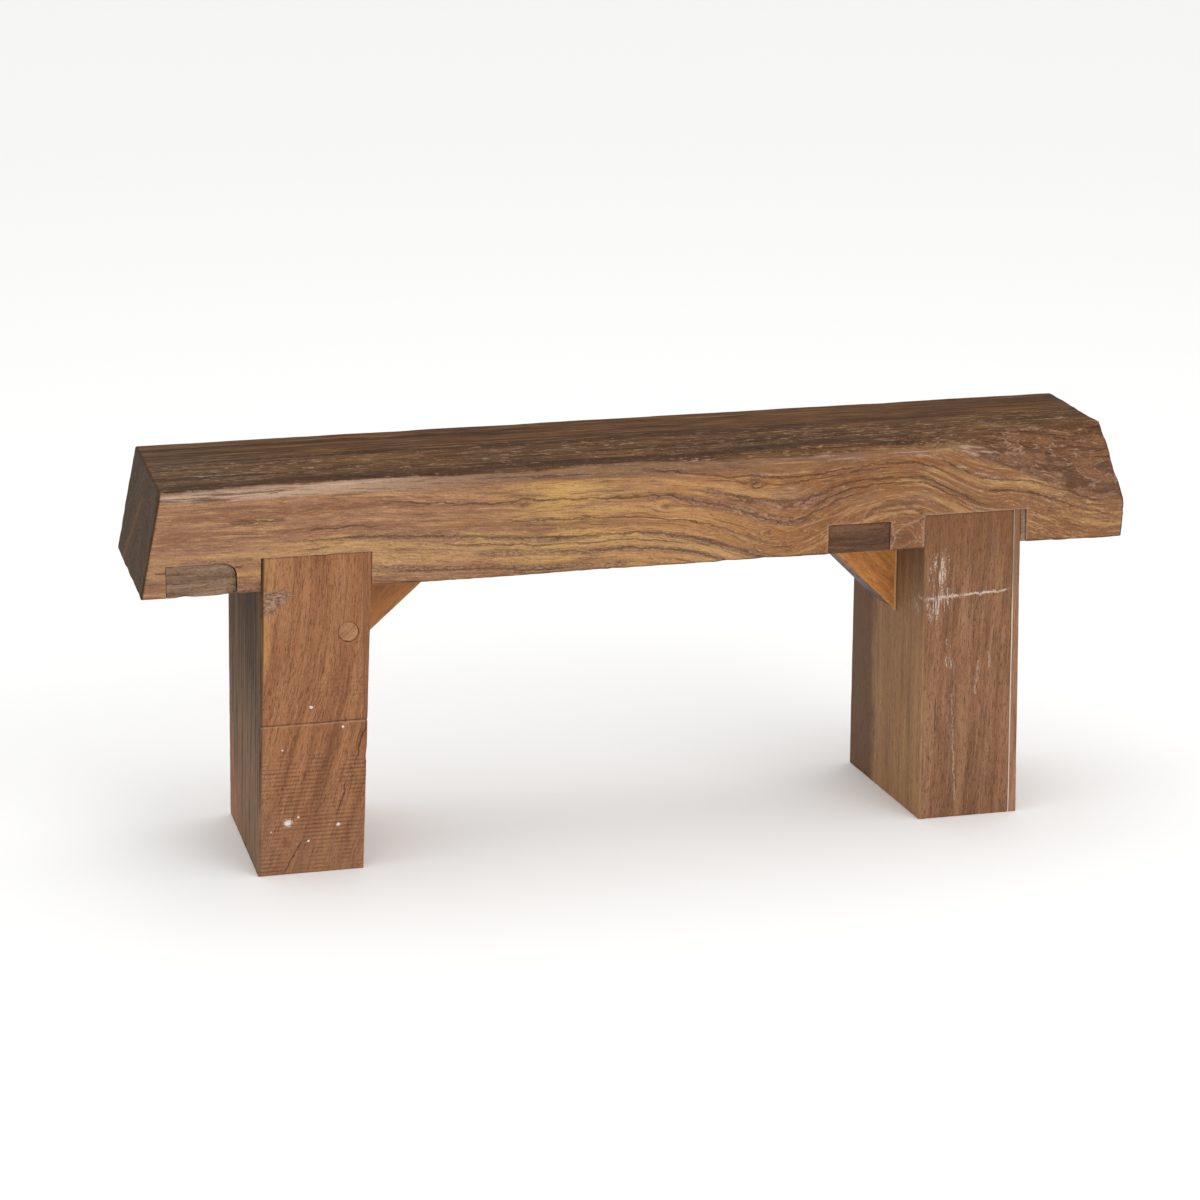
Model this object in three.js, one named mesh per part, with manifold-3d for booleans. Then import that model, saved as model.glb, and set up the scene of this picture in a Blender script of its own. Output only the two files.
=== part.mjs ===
// A backless bench of reclaimed timber: one thick seat beam housed over two block legs.
//
// Millimetres, +X along the seat, +Y to the back, +Z up. The origin is on the floor under the middle of
// the bench. The leg tops stand in housings cut across the underside of the beam, on hidden dowels. A
// screwed triangular block braces each inner corner. Touching pieces keep a small gap between them.
import * as THREE from "three";
import { mergeVertices } from "three/addons/utils/BufferGeometryUtils.js";
import Module from "manifold-3d";

// Driving dimensions of the whole bench
const SEAT_HEIGHT = 450;
const SEAT_LENGTH = 1142;
const SEAT_THICKNESS = 119;
const FRONT_Y = -107.5;
const LEG_DEPTH = 217;
const HOUSING_DEPTH = 38.5;
const GAP = 0.3;

// The seat beam: its left end leans and is a little skewed, its back flares to the right and its front
// edge is waney
const END_LEAN = 24;
const END_SKEW = 5;
const BACK_LEFT_Y = 111.5;
const BACK_RIGHT_Y = 118;
const BEAM_STATIONS = 24;

// Shapes that change along the beam: a base, and swells that each add an amount from one x to another
const SET_BACK = {
  base: 6,
  swells: [
    { amount: 10, from: -530, to: -330 },
    { amount: 32, from: 10, to: 300 },
    { amount: 25, from: 340, to: 571 },
  ],
};
const ARRIS_DROP = {
  base: 8,
  swells: [
    { amount: 2, from: 0, to: 370 },
    { amount: 66, from: 350, to: 560 },
  ],
};
const FRONT_BULGE = { base: 0, swells: [{ amount: 10.5, from: 450, to: 571 }] };
const UNDERSIDE_BULGE_SHARE = 0.6;
const WANE_STEPS = 4;
const WANE_CURVE = 0.3;

// The legs: left and right edges at the floor and at the top, on the front face and on the back face
const LEFT_LEG = {
  front: { left: [-448, -436.8], right: [-327.6, -313.5] },
  back: { left: [-443, -438.5], right: [-325, -315] },
};
const RIGHT_LEG = {
  front: { left: [335.1, 331.8], right: [445.9, 439.4] },
  back: { left: [323.5, 322], right: [445.9, 439.4] },
};
const LEG_LEVELS = 5;

// The thin board on the outer side of the right leg, and the packing strip beside it in the housing
const BOARD_THICKNESS = { floor: 10.5, top: 8.4 };
const SHIM_THICKNESS = 6;

// Repair blocks let into the lower front edge of the beam
const PATCH_DEPTH = 32;
const LEFT_PATCH = { left: -542, right: -464, height: 35.5, endRadius: 15 };
const RIGHT_PATCH = { left: 215.5, right: 289.5, height: 34, endRadius: 1.5 };

// Triangular corner blocks
const BLOCK_FRONT_Y = FRONT_Y + 81;
const BLOCK_THICKNESS = 88;
const LEFT_BLOCK = { run: 99, drop: 92 };
const RIGHT_BLOCK = { run: 97, drop: 99 };

// Hidden dowels between the legs and the beam
const DOWEL = { radius: 10, length: 108, chamfer: 1.5, edgeDistance: 55 };

// The wooden plug in the front of the left leg
const PLUG = { x: -341.4, z: 279.3, radius: 11.5, depth: 25, chamfer: 0.8, setBack: 0.4 };

// Countersunk wood screws in the corner blocks
const SCREW = { shank: 2.5, head: 4.8, headHeight: 3.2, headRim: 0.6, length: 70, tip: 6, sink: 14 };
const SCREW_ALONG = 58;
const BEAM_SCREW_SPREAD = 28;
const LEG_SCREW_SPREAD = 11;
const COUNTERBORE_RADIUS = 6.5;

const ROUND_SIDES = 28;
const SCREW_SIDES = 16;

// How far a cutter runs past the face that it opens, and how far a screw's counterbore does
const OVERRUN = 10;
const COUNTERBORE_RUN = 40;

// Dimensions that follow from the driving ones
const HALF_LENGTH = SEAT_LENGTH / 2;
const UNDERSIDE = SEAT_HEIGHT - SEAT_THICKNESS;
const LEG_TOP = UNDERSIDE + HOUSING_DEPTH;
const LEG_BACK_Y = FRONT_Y + LEG_DEPTH;

const wasm = await Module();
wasm.setup();

const lerp = THREE.MathUtils.lerp;
const smoothstep = THREE.MathUtils.smoothstep;
const point = (x, y, z) => new THREE.Vector3(x, y, z);

function wood(color, roughness) {
  return new THREE.MeshStandardMaterial({ color, roughness, metalness: 0 });
}

const beamWood = wood(0x8a6440, 0.8);
const legWood = wood(0x7d5238, 0.82);
const paleLegWood = wood(0x8c6a50, 0.85);
const patchWood = wood(0x5d4434, 0.8);
const blockWood = wood(0xb5793a, 0.65);
const shimWood = wood(0x8e8478, 0.85);
const dowelWood = wood(0xc49a63, 0.7);
const plugWood = wood(0xa5703f, 0.75);
const screwSteel = new THREE.MeshStandardMaterial({ color: 0x8d8a80, roughness: 0.4, metalness: 0.9 });

// A closed body through a row of flat sections with the same number of corners. The corners run
// anticlockwise as seen from the far end of the row.
function loft(sections) {
  const corners = sections[0].length;
  const last = (sections.length - 1) * corners;
  const index = [];
  for (let base = 0; base < last; base += corners) {
    for (let corner = 0; corner < corners; corner += 1) {
      const here = base + corner;
      const beside = base + ((corner + 1) % corners);
      index.push(here, beside, beside + corners);
      index.push(here, beside + corners, here + corners);
    }
  }
  for (let corner = 1; corner + 1 < corners; corner += 1) {
    index.push(0, corner + 1, corner);
    index.push(last, last + corner, last + corner + 1);
  }
  const geometry = new THREE.BufferGeometry();
  geometry.setFromPoints(sections.flat());
  geometry.setIndex(index);
  return geometry;
}

function solidOf(geometry) {
  const bare = geometry.clone();
  bare.deleteAttribute("normal");
  bare.deleteAttribute("uv");
  const merged = mergeVertices(bare, 1e-4);
  const vertProperties = new Float32Array(merged.getAttribute("position").array);
  const triVerts = new Uint32Array(merged.index.array);
  return new wasm.Manifold(new wasm.Mesh({ numProp: 3, vertProperties, triVerts }));
}

function geometryOf(solid) {
  const mesh = solid.getMesh();
  const geometry = new THREE.BufferGeometry();
  geometry.setAttribute("position", new THREE.BufferAttribute(mesh.vertProperties, 3));
  geometry.setIndex(new THREE.BufferAttribute(mesh.triVerts, 1));
  return geometry;
}

function cut(body, ...cutters) {
  const solid = cutters.reduce((left, cutter) => left.subtract(solidOf(cutter)), solidOf(body));
  return geometryOf(solid);
}

const bench = new THREE.Group();

function addPiece(name, geometry, material) {
  geometry.computeVertexNormals();
  const mesh = new THREE.Mesh(geometry, material);
  mesh.name = name;
  bench.add(mesh);
}

function swollen(shape, x) {
  const added = shape.swells.map((swell) => swell.amount * smoothstep(x, swell.from, swell.to));
  return added.reduce((sum, amount) => sum + amount, shape.base);
}

// The section of the beam at x. The top edge sets back and the arris drops towards the right end, where
// the timber keeps the rounded outside of the tree.
function beamSection(x) {
  const setBack = swollen(SET_BACK, x);
  const arrisDrop = swollen(ARRIS_DROP, x);
  const bulge = swollen(FRONT_BULGE, x);
  const backY = lerp(BACK_LEFT_Y, BACK_RIGHT_Y, (x + HALF_LENGTH) / SEAT_LENGTH);
  const isLeftEnd = x <= -HALF_LENGTH;
  const corner = (y, z) => {
    const lean = (END_LEAN * (z - UNDERSIDE)) / SEAT_THICKNESS;
    const skew = END_SKEW * Math.max(0, (y - FRONT_Y) / LEG_DEPTH);
    return point(isLeftEnd ? x + lean + skew : x, y, z);
  };
  const section = [
    corner(FRONT_Y - UNDERSIDE_BULGE_SHARE * bulge, UNDERSIDE),
    corner(backY, UNDERSIDE),
    corner(backY, SEAT_HEIGHT),
    corner(FRONT_Y + setBack, SEAT_HEIGHT),
  ];
  for (let step = 1; step <= WANE_STEPS; step += 1) {
    const across = step / WANE_STEPS;
    const fall = lerp(across, across * across, WANE_CURVE);
    section.push(corner(FRONT_Y + lerp(setBack, -bulge, across), SEAT_HEIGHT - arrisDrop * fall));
  }
  return section;
}

function beamBody() {
  const sections = [];
  for (let station = 0; station <= BEAM_STATIONS; station += 1) {
    sections.push(beamSection(lerp(-HALF_LENGTH, HALF_LENGTH, station / BEAM_STATIONS)));
  }
  return loft(sections);
}

// Heights at which a leg has a section: evenly up to the beam, then at the beam and at the leg's top
function legLevels() {
  const levels = [];
  for (let level = 0; level <= LEG_LEVELS; level += 1) {
    levels.push((UNDERSIDE * level) / LEG_LEVELS);
  }
  levels.push(LEG_TOP);
  return levels;
}

// The x of a face of a leg at y, from its x at the front and at the back
function faceX(edge, y) {
  return lerp(edge.front, edge.back, (y - FRONT_Y) / LEG_DEPTH);
}

// A flat section of a post between its left and right faces
function postSection(z, left, right, frontY = FRONT_Y, backY = LEG_BACK_Y) {
  return [
    point(faceX(left, frontY), frontY, z),
    point(faceX(right, frontY), frontY, z),
    point(faceX(right, backY), backY, z),
    point(faceX(left, backY), backY, z),
  ];
}

function edgeAt(leg, side, z) {
  const upward = z / LEG_TOP;
  return { front: lerp(...leg.front[side], upward), back: lerp(...leg.back[side], upward) };
}

function shifted(edge, distance) {
  return { front: edge.front + distance, back: edge.back + distance };
}

function legBody(leg) {
  return loft(legLevels().map((z) => postSection(z, edgeAt(leg, "left", z), edgeAt(leg, "right", z))));
}

// The outer face of the board on the right leg, and of the packing strip beside it
function boardOuter(z) {
  const seam = shifted(edgeAt(RIGHT_LEG, "right", z), GAP);
  return shifted(seam, lerp(BOARD_THICKNESS.floor, BOARD_THICKNESS.top, z / LEG_TOP));
}

function boardBody() {
  return loft(
    legLevels().map((z) => postSection(z, shifted(edgeAt(RIGHT_LEG, "right", z), GAP), boardOuter(z))),
  );
}

function shimSection(z) {
  const inner = shifted(boardOuter(z), GAP);
  return postSection(z, inner, shifted(inner, SHIM_THICKNESS));
}

function shimBody() {
  return loft([shimSection(UNDERSIDE), shimSection(LEG_TOP)]);
}

// The space that a housing takes out of the beam, open at the front, the back and below
function housingCutter(leftFace, rightFace) {
  const section = (z, faceZ) =>
    postSection(
      z,
      shifted(leftFace(faceZ), -GAP),
      shifted(rightFace(faceZ), GAP),
      FRONT_Y - OVERRUN,
      LEG_BACK_Y + OVERRUN,
    );
  return loft([
    section(UNDERSIDE - OVERRUN, UNDERSIDE),
    section(UNDERSIDE, UNDERSIDE),
    section(LEG_TOP + GAP, LEG_TOP),
  ]);
}

// A flat outline in X and Z, extruded from one Y to another
function extrudeAlongY(shape, fromY, toY) {
  const geometry = new THREE.ExtrudeGeometry(shape, { depth: toY - fromY, bevelEnabled: false });
  geometry.rotateX(Math.PI / 2);
  geometry.translate(0, toY, 0);
  return geometry;
}

// The face of a repair block: square at the left, with its upper right corner rounded
function patchShape(patch, grow) {
  const left = patch.left - grow;
  const right = patch.right + grow;
  const top = UNDERSIDE + patch.height + grow;
  const bottom = UNDERSIDE - (grow > 0 ? OVERRUN : 0);
  const radius = patch.endRadius + grow;
  const shape = new THREE.Shape();
  shape.moveTo(left, bottom);
  shape.lineTo(right, bottom);
  shape.lineTo(right, top - radius);
  shape.absarc(right - radius, top - radius, radius, 0, Math.PI / 2);
  shape.lineTo(left, top);
  return shape;
}

function patchBody(patch) {
  return extrudeAlongY(patchShape(patch, 0), FRONT_Y, FRONT_Y + PATCH_DEPTH);
}

function patchCutter(patch) {
  return extrudeAlongY(patchShape(patch, GAP), FRONT_Y - OVERRUN, FRONT_Y + PATCH_DEPTH + GAP);
}

// The x of a corner block's face against its leg. The side is +1 where the block points to +X.
function blockFaceX(leg, side, y, z) {
  return faceX(edgeAt(leg, side > 0 ? "right" : "left", z), y) + side * GAP;
}

function blockBody(leg, block, side) {
  const top = UNDERSIDE - GAP;
  const bottom = UNDERSIDE - block.drop;
  const section = (y) => {
    const upper = point(blockFaceX(leg, side, y, top), y, top);
    const tip = point(upper.x + side * block.run, y, top);
    const lower = point(blockFaceX(leg, side, y, bottom), y, bottom);
    return side > 0 ? [upper, lower, tip] : [upper, tip, lower];
  };
  return loft([section(BLOCK_FRONT_Y + BLOCK_THICKNESS), section(BLOCK_FRONT_Y)]);
}

// A round body around the Z axis from a profile of [radius, height] pairs that starts and ends on the axis
function turned(profile, sides) {
  const outline = profile.map(([radius, height]) => new THREE.Vector2(radius, height));
  const geometry = new THREE.LatheGeometry(outline, sides);
  geometry.rotateX(Math.PI / 2);
  return geometry;
}

function dowelBody(length, radius, chamfer) {
  return turned(
    [
      [0, 0],
      [radius - chamfer, 0],
      [radius, chamfer],
      [radius, length - chamfer],
      [radius - chamfer, length],
      [0, length],
    ],
    ROUND_SIDES,
  );
}

// A screw standing on its head at the origin, with its tip up
function screwBody() {
  return turned(
    [
      [0, 0],
      [SCREW.head, 0],
      [SCREW.head, SCREW.headRim],
      [SCREW.shank, SCREW.headHeight],
      [SCREW.shank, SCREW.length - SCREW.tip],
      [0, SCREW.length],
    ],
    SCREW_SIDES,
  );
}

// The hole for a screw, with a counterbore that runs out below the head
function screwCutter() {
  return turned(
    [
      [0, -COUNTERBORE_RUN],
      [COUNTERBORE_RADIUS, -COUNTERBORE_RUN],
      [COUNTERBORE_RADIUS, SCREW.headRim + GAP],
      [SCREW.head + GAP, SCREW.headRim + GAP],
      [SCREW.shank + GAP, SCREW.headHeight + GAP],
      [SCREW.shank + GAP, SCREW.length - SCREW.tip + GAP],
      [0, SCREW.length + 2 * GAP],
    ],
    SCREW_SIDES,
  );
}

// Places for the four screws of a block: two up into the beam and two sideways into the leg
function screwPlaces(leg, block, side) {
  const middleY = BLOCK_FRONT_Y + BLOCK_THICKNESS / 2;
  const slope = block.drop / block.run;
  const legX = blockFaceX(leg, side, middleY, UNDERSIDE - SCREW_ALONG);
  const alongDrop = SCREW_ALONG * slope;
  const upZ = UNDERSIDE - (block.run - SCREW_ALONG) * slope + SCREW.sink;
  const sideX = legX + side * ((block.drop - alongDrop) / slope - SCREW.sink);
  const up = new THREE.Matrix4();
  const sideways = new THREE.Matrix4().makeRotationY((-side * Math.PI) / 2);
  return ["front", "back"].flatMap((row) => {
    const toRow = row === "front" ? -1 : 1;
    const beamScrew = point(legX + side * SCREW_ALONG, middleY + toRow * BEAM_SCREW_SPREAD, upZ);
    const legScrew = point(sideX, middleY + toRow * LEG_SCREW_SPREAD, UNDERSIDE - alongDrop);
    return [
      { name: `beam_screw_${row}`, matrix: up.clone().setPosition(beamScrew) },
      { name: `leg_screw_${row}`, matrix: sideways.clone().setPosition(legScrew) },
    ];
  });
}

// The axes of the two dowels of a leg
function dowelPlaces(leg) {
  const centreX = (edgeAt(leg, "left", LEG_TOP).front + edgeAt(leg, "right", LEG_TOP).front) / 2;
  return [
    { name: "dowel_front", x: centreX, y: FRONT_Y + DOWEL.edgeDistance },
    { name: "dowel_back", x: centreX, y: LEG_BACK_Y - DOWEL.edgeDistance },
  ];
}

function dowelAt(place, grow) {
  const body = dowelBody(DOWEL.length + 2 * grow, DOWEL.radius + grow, DOWEL.chamfer);
  return body.translate(place.x, place.y, LEG_TOP - DOWEL.length / 2 - grow);
}

function plugAt(grow) {
  const outside = grow > 0 ? OVERRUN : 0;
  const body = dowelBody(PLUG.depth + grow + outside, PLUG.radius + grow, PLUG.chamfer);
  body.rotateX(-Math.PI / 2);
  return body.translate(PLUG.x, FRONT_Y + PLUG.setBack - outside, PLUG.z);
}

const ends = [
  { name: "left", leg: LEFT_LEG, block: LEFT_BLOCK, side: 1, material: legWood },
  { name: "right", leg: RIGHT_LEG, block: RIGHT_BLOCK, side: -1, material: paleLegWood },
];

const beamCutters = [
  housingCutter(
    (z) => edgeAt(LEFT_LEG, "left", z),
    (z) => edgeAt(LEFT_LEG, "right", z),
  ),
  housingCutter(
    (z) => edgeAt(RIGHT_LEG, "left", z),
    (z) => shifted(boardOuter(z), GAP + SHIM_THICKNESS),
  ),
  patchCutter(LEFT_PATCH),
  patchCutter(RIGHT_PATCH),
];

for (const { name, leg, block, side, material } of ends) {
  const screws = screwPlaces(leg, block, side);
  const dowels = dowelPlaces(leg);
  const screwHoles = screws.map(({ matrix }) => screwCutter().applyMatrix4(matrix));
  const dowelHoles = dowels.map((place) => dowelAt(place, GAP));
  const plugHoles = name === "left" ? [plugAt(GAP)] : [];

  addPiece(`${name}_leg`, cut(legBody(leg), ...dowelHoles, ...screwHoles, ...plugHoles), material);
  addPiece(`${name}_corner_block`, cut(blockBody(leg, block, side), ...screwHoles), blockWood);
  for (const place of dowels) {
    addPiece(`${name}_leg_${place.name}`, dowelAt(place, 0), dowelWood);
  }
  for (const screw of screws) {
    addPiece(`${name}_block_${screw.name}`, screwBody().applyMatrix4(screw.matrix), screwSteel);
  }
  beamCutters.push(...dowelHoles, ...screwHoles);
}

addPiece("seat_beam", cut(beamBody(), ...beamCutters), beamWood);
addPiece("beam_patch_left", patchBody(LEFT_PATCH), patchWood);
addPiece("beam_patch_right", patchBody(RIGHT_PATCH), patchWood);
addPiece("left_leg_plug", plugAt(0), plugWood);
addPiece("right_leg_edge_board", boardBody(), paleLegWood);
addPiece("right_leg_shim", shimBody(), shimWood);

export default bench;
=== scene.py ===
"""A backless bench of reclaimed timber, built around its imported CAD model.

Metres, +X along the seat, +Y to the back, +Z up, as in the CAD model. Each visible piece of wood is a
dense closed mesh on the place of its CAD node: its arrises are worn, and its cracks, saw marks, chips
and rough patches are cut into the mesh. Every vertex also carries its place in the grain of the timber,
which the materials read, so that fibres and streaks run along the wood and bend round its knots.
"""
import functools
import itertools
import math

import bpy
import numpy as np
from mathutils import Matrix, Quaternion, Vector


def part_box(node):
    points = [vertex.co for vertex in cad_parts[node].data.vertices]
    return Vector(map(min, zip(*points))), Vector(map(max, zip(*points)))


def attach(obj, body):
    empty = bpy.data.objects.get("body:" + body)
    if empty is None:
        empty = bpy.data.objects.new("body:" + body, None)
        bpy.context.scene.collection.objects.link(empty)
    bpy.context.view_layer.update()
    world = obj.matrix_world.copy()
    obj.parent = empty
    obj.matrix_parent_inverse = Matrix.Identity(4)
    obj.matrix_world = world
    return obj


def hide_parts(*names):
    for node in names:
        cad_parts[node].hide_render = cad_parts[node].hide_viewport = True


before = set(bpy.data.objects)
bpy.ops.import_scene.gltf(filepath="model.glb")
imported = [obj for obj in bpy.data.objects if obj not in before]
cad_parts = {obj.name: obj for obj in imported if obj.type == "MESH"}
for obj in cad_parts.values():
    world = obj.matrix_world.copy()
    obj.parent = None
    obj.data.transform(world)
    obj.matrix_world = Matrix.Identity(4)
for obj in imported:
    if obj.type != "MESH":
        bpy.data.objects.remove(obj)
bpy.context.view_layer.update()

# === Places worked out from the frame ===


def node_box(node):
    """The two corners of a CAD node's box."""
    return [np.array(corner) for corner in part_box(node)]


BEAM_LOW, BEAM_HIGH = node_box("seat_beam")
LEG_LOW, LEG_HIGH = node_box("left_leg")
SEAT_TOP = BEAM_HIGH[2]
UNDERSIDE = BEAM_LOW[2]
THICKNESS = SEAT_TOP - UNDERSIDE
FRONT_Y = LEG_LOW[1]
BACK_Y = LEG_HIGH[1]
LEG_TOP = LEG_HIGH[2]
MM = 0.001
GAP = 0.3 * MM
OVERRUN = 10 * MM
ENDS = np.array([0.0, 1.0])


# === Numbers on arrays of points ===


def lerp(start, end, share):
    return start + (end - start) * share


def ramp(value, start, end):
    """0 before start, 1 after end, and an easy climb between them."""
    share = np.clip((value - start) / (end - start), 0, 1)
    return share * share * (3 - 2 * share)


def bell(value, middle, width):
    return np.exp(-(((value - middle) / width) ** 2))


def within(value, low, high, soft):
    """1 between low and high, falling to 0 over soft on either side."""
    return ramp(value, low - soft, low + soft) * (1 - ramp(value, high - soft, high + soft))


def near_front(y, near, far):
    """1 at the front faces, falling to 0 between two depths behind them."""
    return 1 - ramp(y, FRONT_Y + near, FRONT_Y + far)


def columns(*values):
    """Points, or other vectors, from their three numbers."""
    return np.stack(values, axis=1)


def noise(points, seed):
    """Smooth gradient noise, about -1 to 1, with one feature for each unit of distance."""
    cell = np.floor(points).astype(np.int64)
    inside = points - cell
    ease = inside**3 * (inside * (inside * 6 - 15) + 10)
    total = np.zeros(len(points))
    for corner in itertools.product((0, 1), repeat=3):
        step = np.array(corner)
        key = (cell + step) @ np.array([73856093, 19349663, 83492791]) + seed * 2654435761
        key = ((key ^ (key >> 13)) * 1274126177) & 0xFFFFFFFF
        key ^= key >> 16
        slope = columns(key & 1023, (key >> 10) & 1023, (key >> 20) & 1023) / 511.5 - 1
        share = np.prod(np.where(step == 1, ease, 1 - ease), axis=1)
        total += share * ((inside - step) * slope).sum(axis=1)
    return total * 1.5


def layered_noise(points, pitch, seed, octaves=3):
    """Noise with features about pitch metres apart on each axis, with finer layers on top."""
    total = np.zeros(len(points))
    scaled = points / np.array(pitch)
    for octave in range(octaves):
        total += noise(scaled * 2**octave + 31.7 * octave, seed + octave) / 2**octave
    return total


# === Meshes ===


def grid_lines(length, pitch, edge=0.003):
    """Fractions from 0 to 1 along a side: evenly spaced, with a few more lines beside both edges."""
    beside_edge = np.array([0.0, 0.2, 0.5, 0.8]) * edge
    middle = np.linspace(edge * 1.3, length - edge * 1.3, max(2, round(length / pitch)))
    return np.concatenate([beside_edge, middle, length - beside_edge[::-1]]) / length


def box_surface(lines):
    """The surface of a unit box cut by three sets of lines: its points and its outward quads."""
    counts = [len(line) for line in lines]
    index = np.indices(counts)
    on_surface = np.zeros(counts, bool)
    for axis, count in enumerate(counts):
        on_surface |= (index[axis] == 0) | (index[axis] == count - 1)
    number = np.full(counts, -1)
    number[on_surface] = np.arange(on_surface.sum())
    points = np.stack([lines[axis][index[axis][on_surface]] for axis in range(3)], axis=1)
    quads = []
    for axis in range(3):
        for side in (0, -1):
            sheet = np.take(number, side, axis=axis)
            quad = np.stack([sheet[:-1, :-1], sheet[1:, :-1], sheet[1:, 1:], sheet[:-1, 1:]], axis=-1)
            quad = quad.reshape(-1, 4)
            faces_out = (side == -1) != (axis == 1)
            quads.append(quad if faces_out else quad[:, ::-1])
    return points, np.concatenate(quads)


def round_edges(points, lengths, radius):
    """Rounds the edges of the unit box's points, for a box with these side lengths."""
    place = points * lengths
    core = np.clip(place, radius, lengths - radius)
    away = place - core
    distance = np.linalg.norm(away, axis=1, keepdims=True)
    return (core + away / np.maximum(distance, 1e-9) * np.minimum(distance, radius)) / lengths


def in_block(corners, points):
    """Points of the unit box carried into the block with these 2 by 2 by 2 corners."""
    placed = np.zeros_like(points)
    for sides in itertools.product((0, 1), repeat=3):
        share = np.prod(np.where(np.array(sides) == 1, points, 1 - points), axis=1)
        placed += share[:, None] * corners[sides]
    return placed


def vectors_of(items, name):
    """One vector for each vertex or normal of a mesh."""
    values = np.zeros(len(items) * 3)
    items.foreach_get(name, values)
    return values.reshape(-1, 3)


def piece_points(piece):
    return vectors_of(piece.data.vertices, "co")


def node_corners(node):
    """The eight corners of a block-like CAD node: the vertex nearest to each corner of its box."""
    points = piece_points(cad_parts[node])
    low, high = points.min(axis=0), points.max(axis=0)
    corners = np.zeros((2, 2, 2, 3))
    for sides in itertools.product((0, 1), repeat=3):
        target = np.where(np.array(sides) == 1, high, low)
        corners[sides] = points[np.argmin(((points - target) ** 2).sum(axis=1))]
    return corners


def new_piece(name, points, faces):
    mesh = bpy.data.meshes.new(name)
    faces = [[int(index) for index in face] for face in faces]
    mesh.from_pydata([list(point) for point in points], [], faces)
    mesh.update()
    piece = bpy.data.objects.new(name, mesh)
    bpy.context.scene.collection.objects.link(piece)
    return piece


def normals_of(piece):
    return vectors_of(piece.data.vertex_normals, "vector")


def push(piece, distance):
    """Moves every vertex along its normal by its own distance, or by a vector of its own."""
    if distance.ndim == 1:
        distance = normals_of(piece) * distance[:, None]
    piece.data.vertices.foreach_set("co", (piece_points(piece) + distance).ravel())
    piece.data.update()


def cut(piece, parts):
    """Cuts closed parts, each given as points and faces, out of a piece."""
    for points, faces in parts:
        cutter = new_piece("cutter", points, faces)
        modifier = piece.modifiers.new("cut", "BOOLEAN")
        modifier.operation = "DIFFERENCE"
        modifier.solver = "EXACT"
        modifier.object = cutter
        graph = bpy.context.evaluated_depsgraph_get()
        carved = bpy.data.meshes.new_from_object(piece.evaluated_get(graph))
        piece.modifiers.clear()
        piece.data = carved
        carved.name = piece.name
        bpy.data.objects.remove(cutter)


def patch_block(points, low, high, radius):
    """Carries the unit box into a block whose upper right corner is an arc, seen from the front."""
    z = lerp(low[2], high[2], points[:, 2])
    above = np.clip(z - (high[2] - radius), 0, radius)
    right = high[0] - radius + np.sqrt(radius**2 - above**2)
    return columns(lerp(low[0], right, points[:, 0]), lerp(low[1], high[1], points[:, 1]), z)


def housing(left_node, right_node):
    """The block that a housing takes out of the beam, open at the front, at the back and below."""
    corners = np.zeros((2, 2, 2, 3))
    for side, node in enumerate((left_node, right_node)):
        post = node_corners(node)
        for end in (0, 1):
            low, high = post[side, end]
            for level, z in enumerate((UNDERSIDE - OVERRUN, LEG_TOP + GAP)):
                corners[side, end, level] = lerp(low, high, (z - low[2]) / (high[2] - low[2]))
    corners[0, ..., 0] -= GAP
    corners[1, ..., 0] += GAP
    beyond = (corners[:, 1] - corners[:, 0]) * OVERRUN / (BACK_Y - FRONT_Y)
    corners[:, 0] -= beyond
    corners[:, 1] += beyond
    points, quads = box_surface([ENDS] * 3)
    return in_block(corners, points), quads


def turned(rings, sides, centre, axis, sense=1, shape=None):
    """A closed round body from rings of (radius, distance along its axis) that start and end on the axis.

    The shape, if there is one, gives each point's radius from its ring's radius, angle and distance.
    """
    angle = np.linspace(0, 2 * math.pi, sides, endpoint=False)
    across = [other for other in range(3) if other != axis]
    points = np.zeros((2 + sides * (len(rings) - 2), 3))
    points[0, axis], points[-1, axis] = rings[0][1], rings[-1][1]
    for number, (radius, distance) in enumerate(rings[1:-1]):
        spread = np.full(sides, radius) if shape is None else shape(radius, angle, distance)
        ring = points[1 + sides * number : 1 + sides * (number + 1)]
        ring[:, across[0]] = spread * np.cos(angle)
        ring[:, across[1]] = spread * np.sin(angle)
        ring[:, axis] = distance
    points[:, axis] *= sense
    last = len(points) - 1
    faces = []
    for side in range(sides):
        beside = (side + 1) % sides
        faces.append([0, 1 + beside, 1 + side])
        faces.append([last, last - sides + side, last - sides + beside])
        for first in range(1, last - sides, sides):
            faces.append([first + side, first + beside, first + beside + sides, first + side + sides])
    if (axis == 1) != (sense < 0):
        faces = [face[::-1] for face in faces]
    return points + np.array(centre), faces


def on_axis(node, axis, place):
    """The point at one place on the long axis of a round CAD node."""
    point = sum(node_box(node)) / 2
    point[axis] = place
    return point


def bar(node, axis, radius, start, end):
    """A plain round cutter on the axis of a CAD node, between two places on that axis."""
    first, last = min(start, end), max(start, end)
    rings = [(0, first), (radius, first), (radius, last), (0, last)]
    return turned(rings, HOLE_SIDES, on_axis(node, axis, 0), axis)


def set_attributes(piece, **attributes):
    """Stores a number or a vector for every vertex under each name, for the material to read."""
    for name, values in attributes.items():
        kind, field = ("FLOAT", "value") if values.ndim == 1 else ("FLOAT_VECTOR", "vector")
        attribute = piece.data.attributes.new(name, kind, "POINT")
        attribute.data.foreach_set(field, values.astype(np.float32).ravel())


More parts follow.
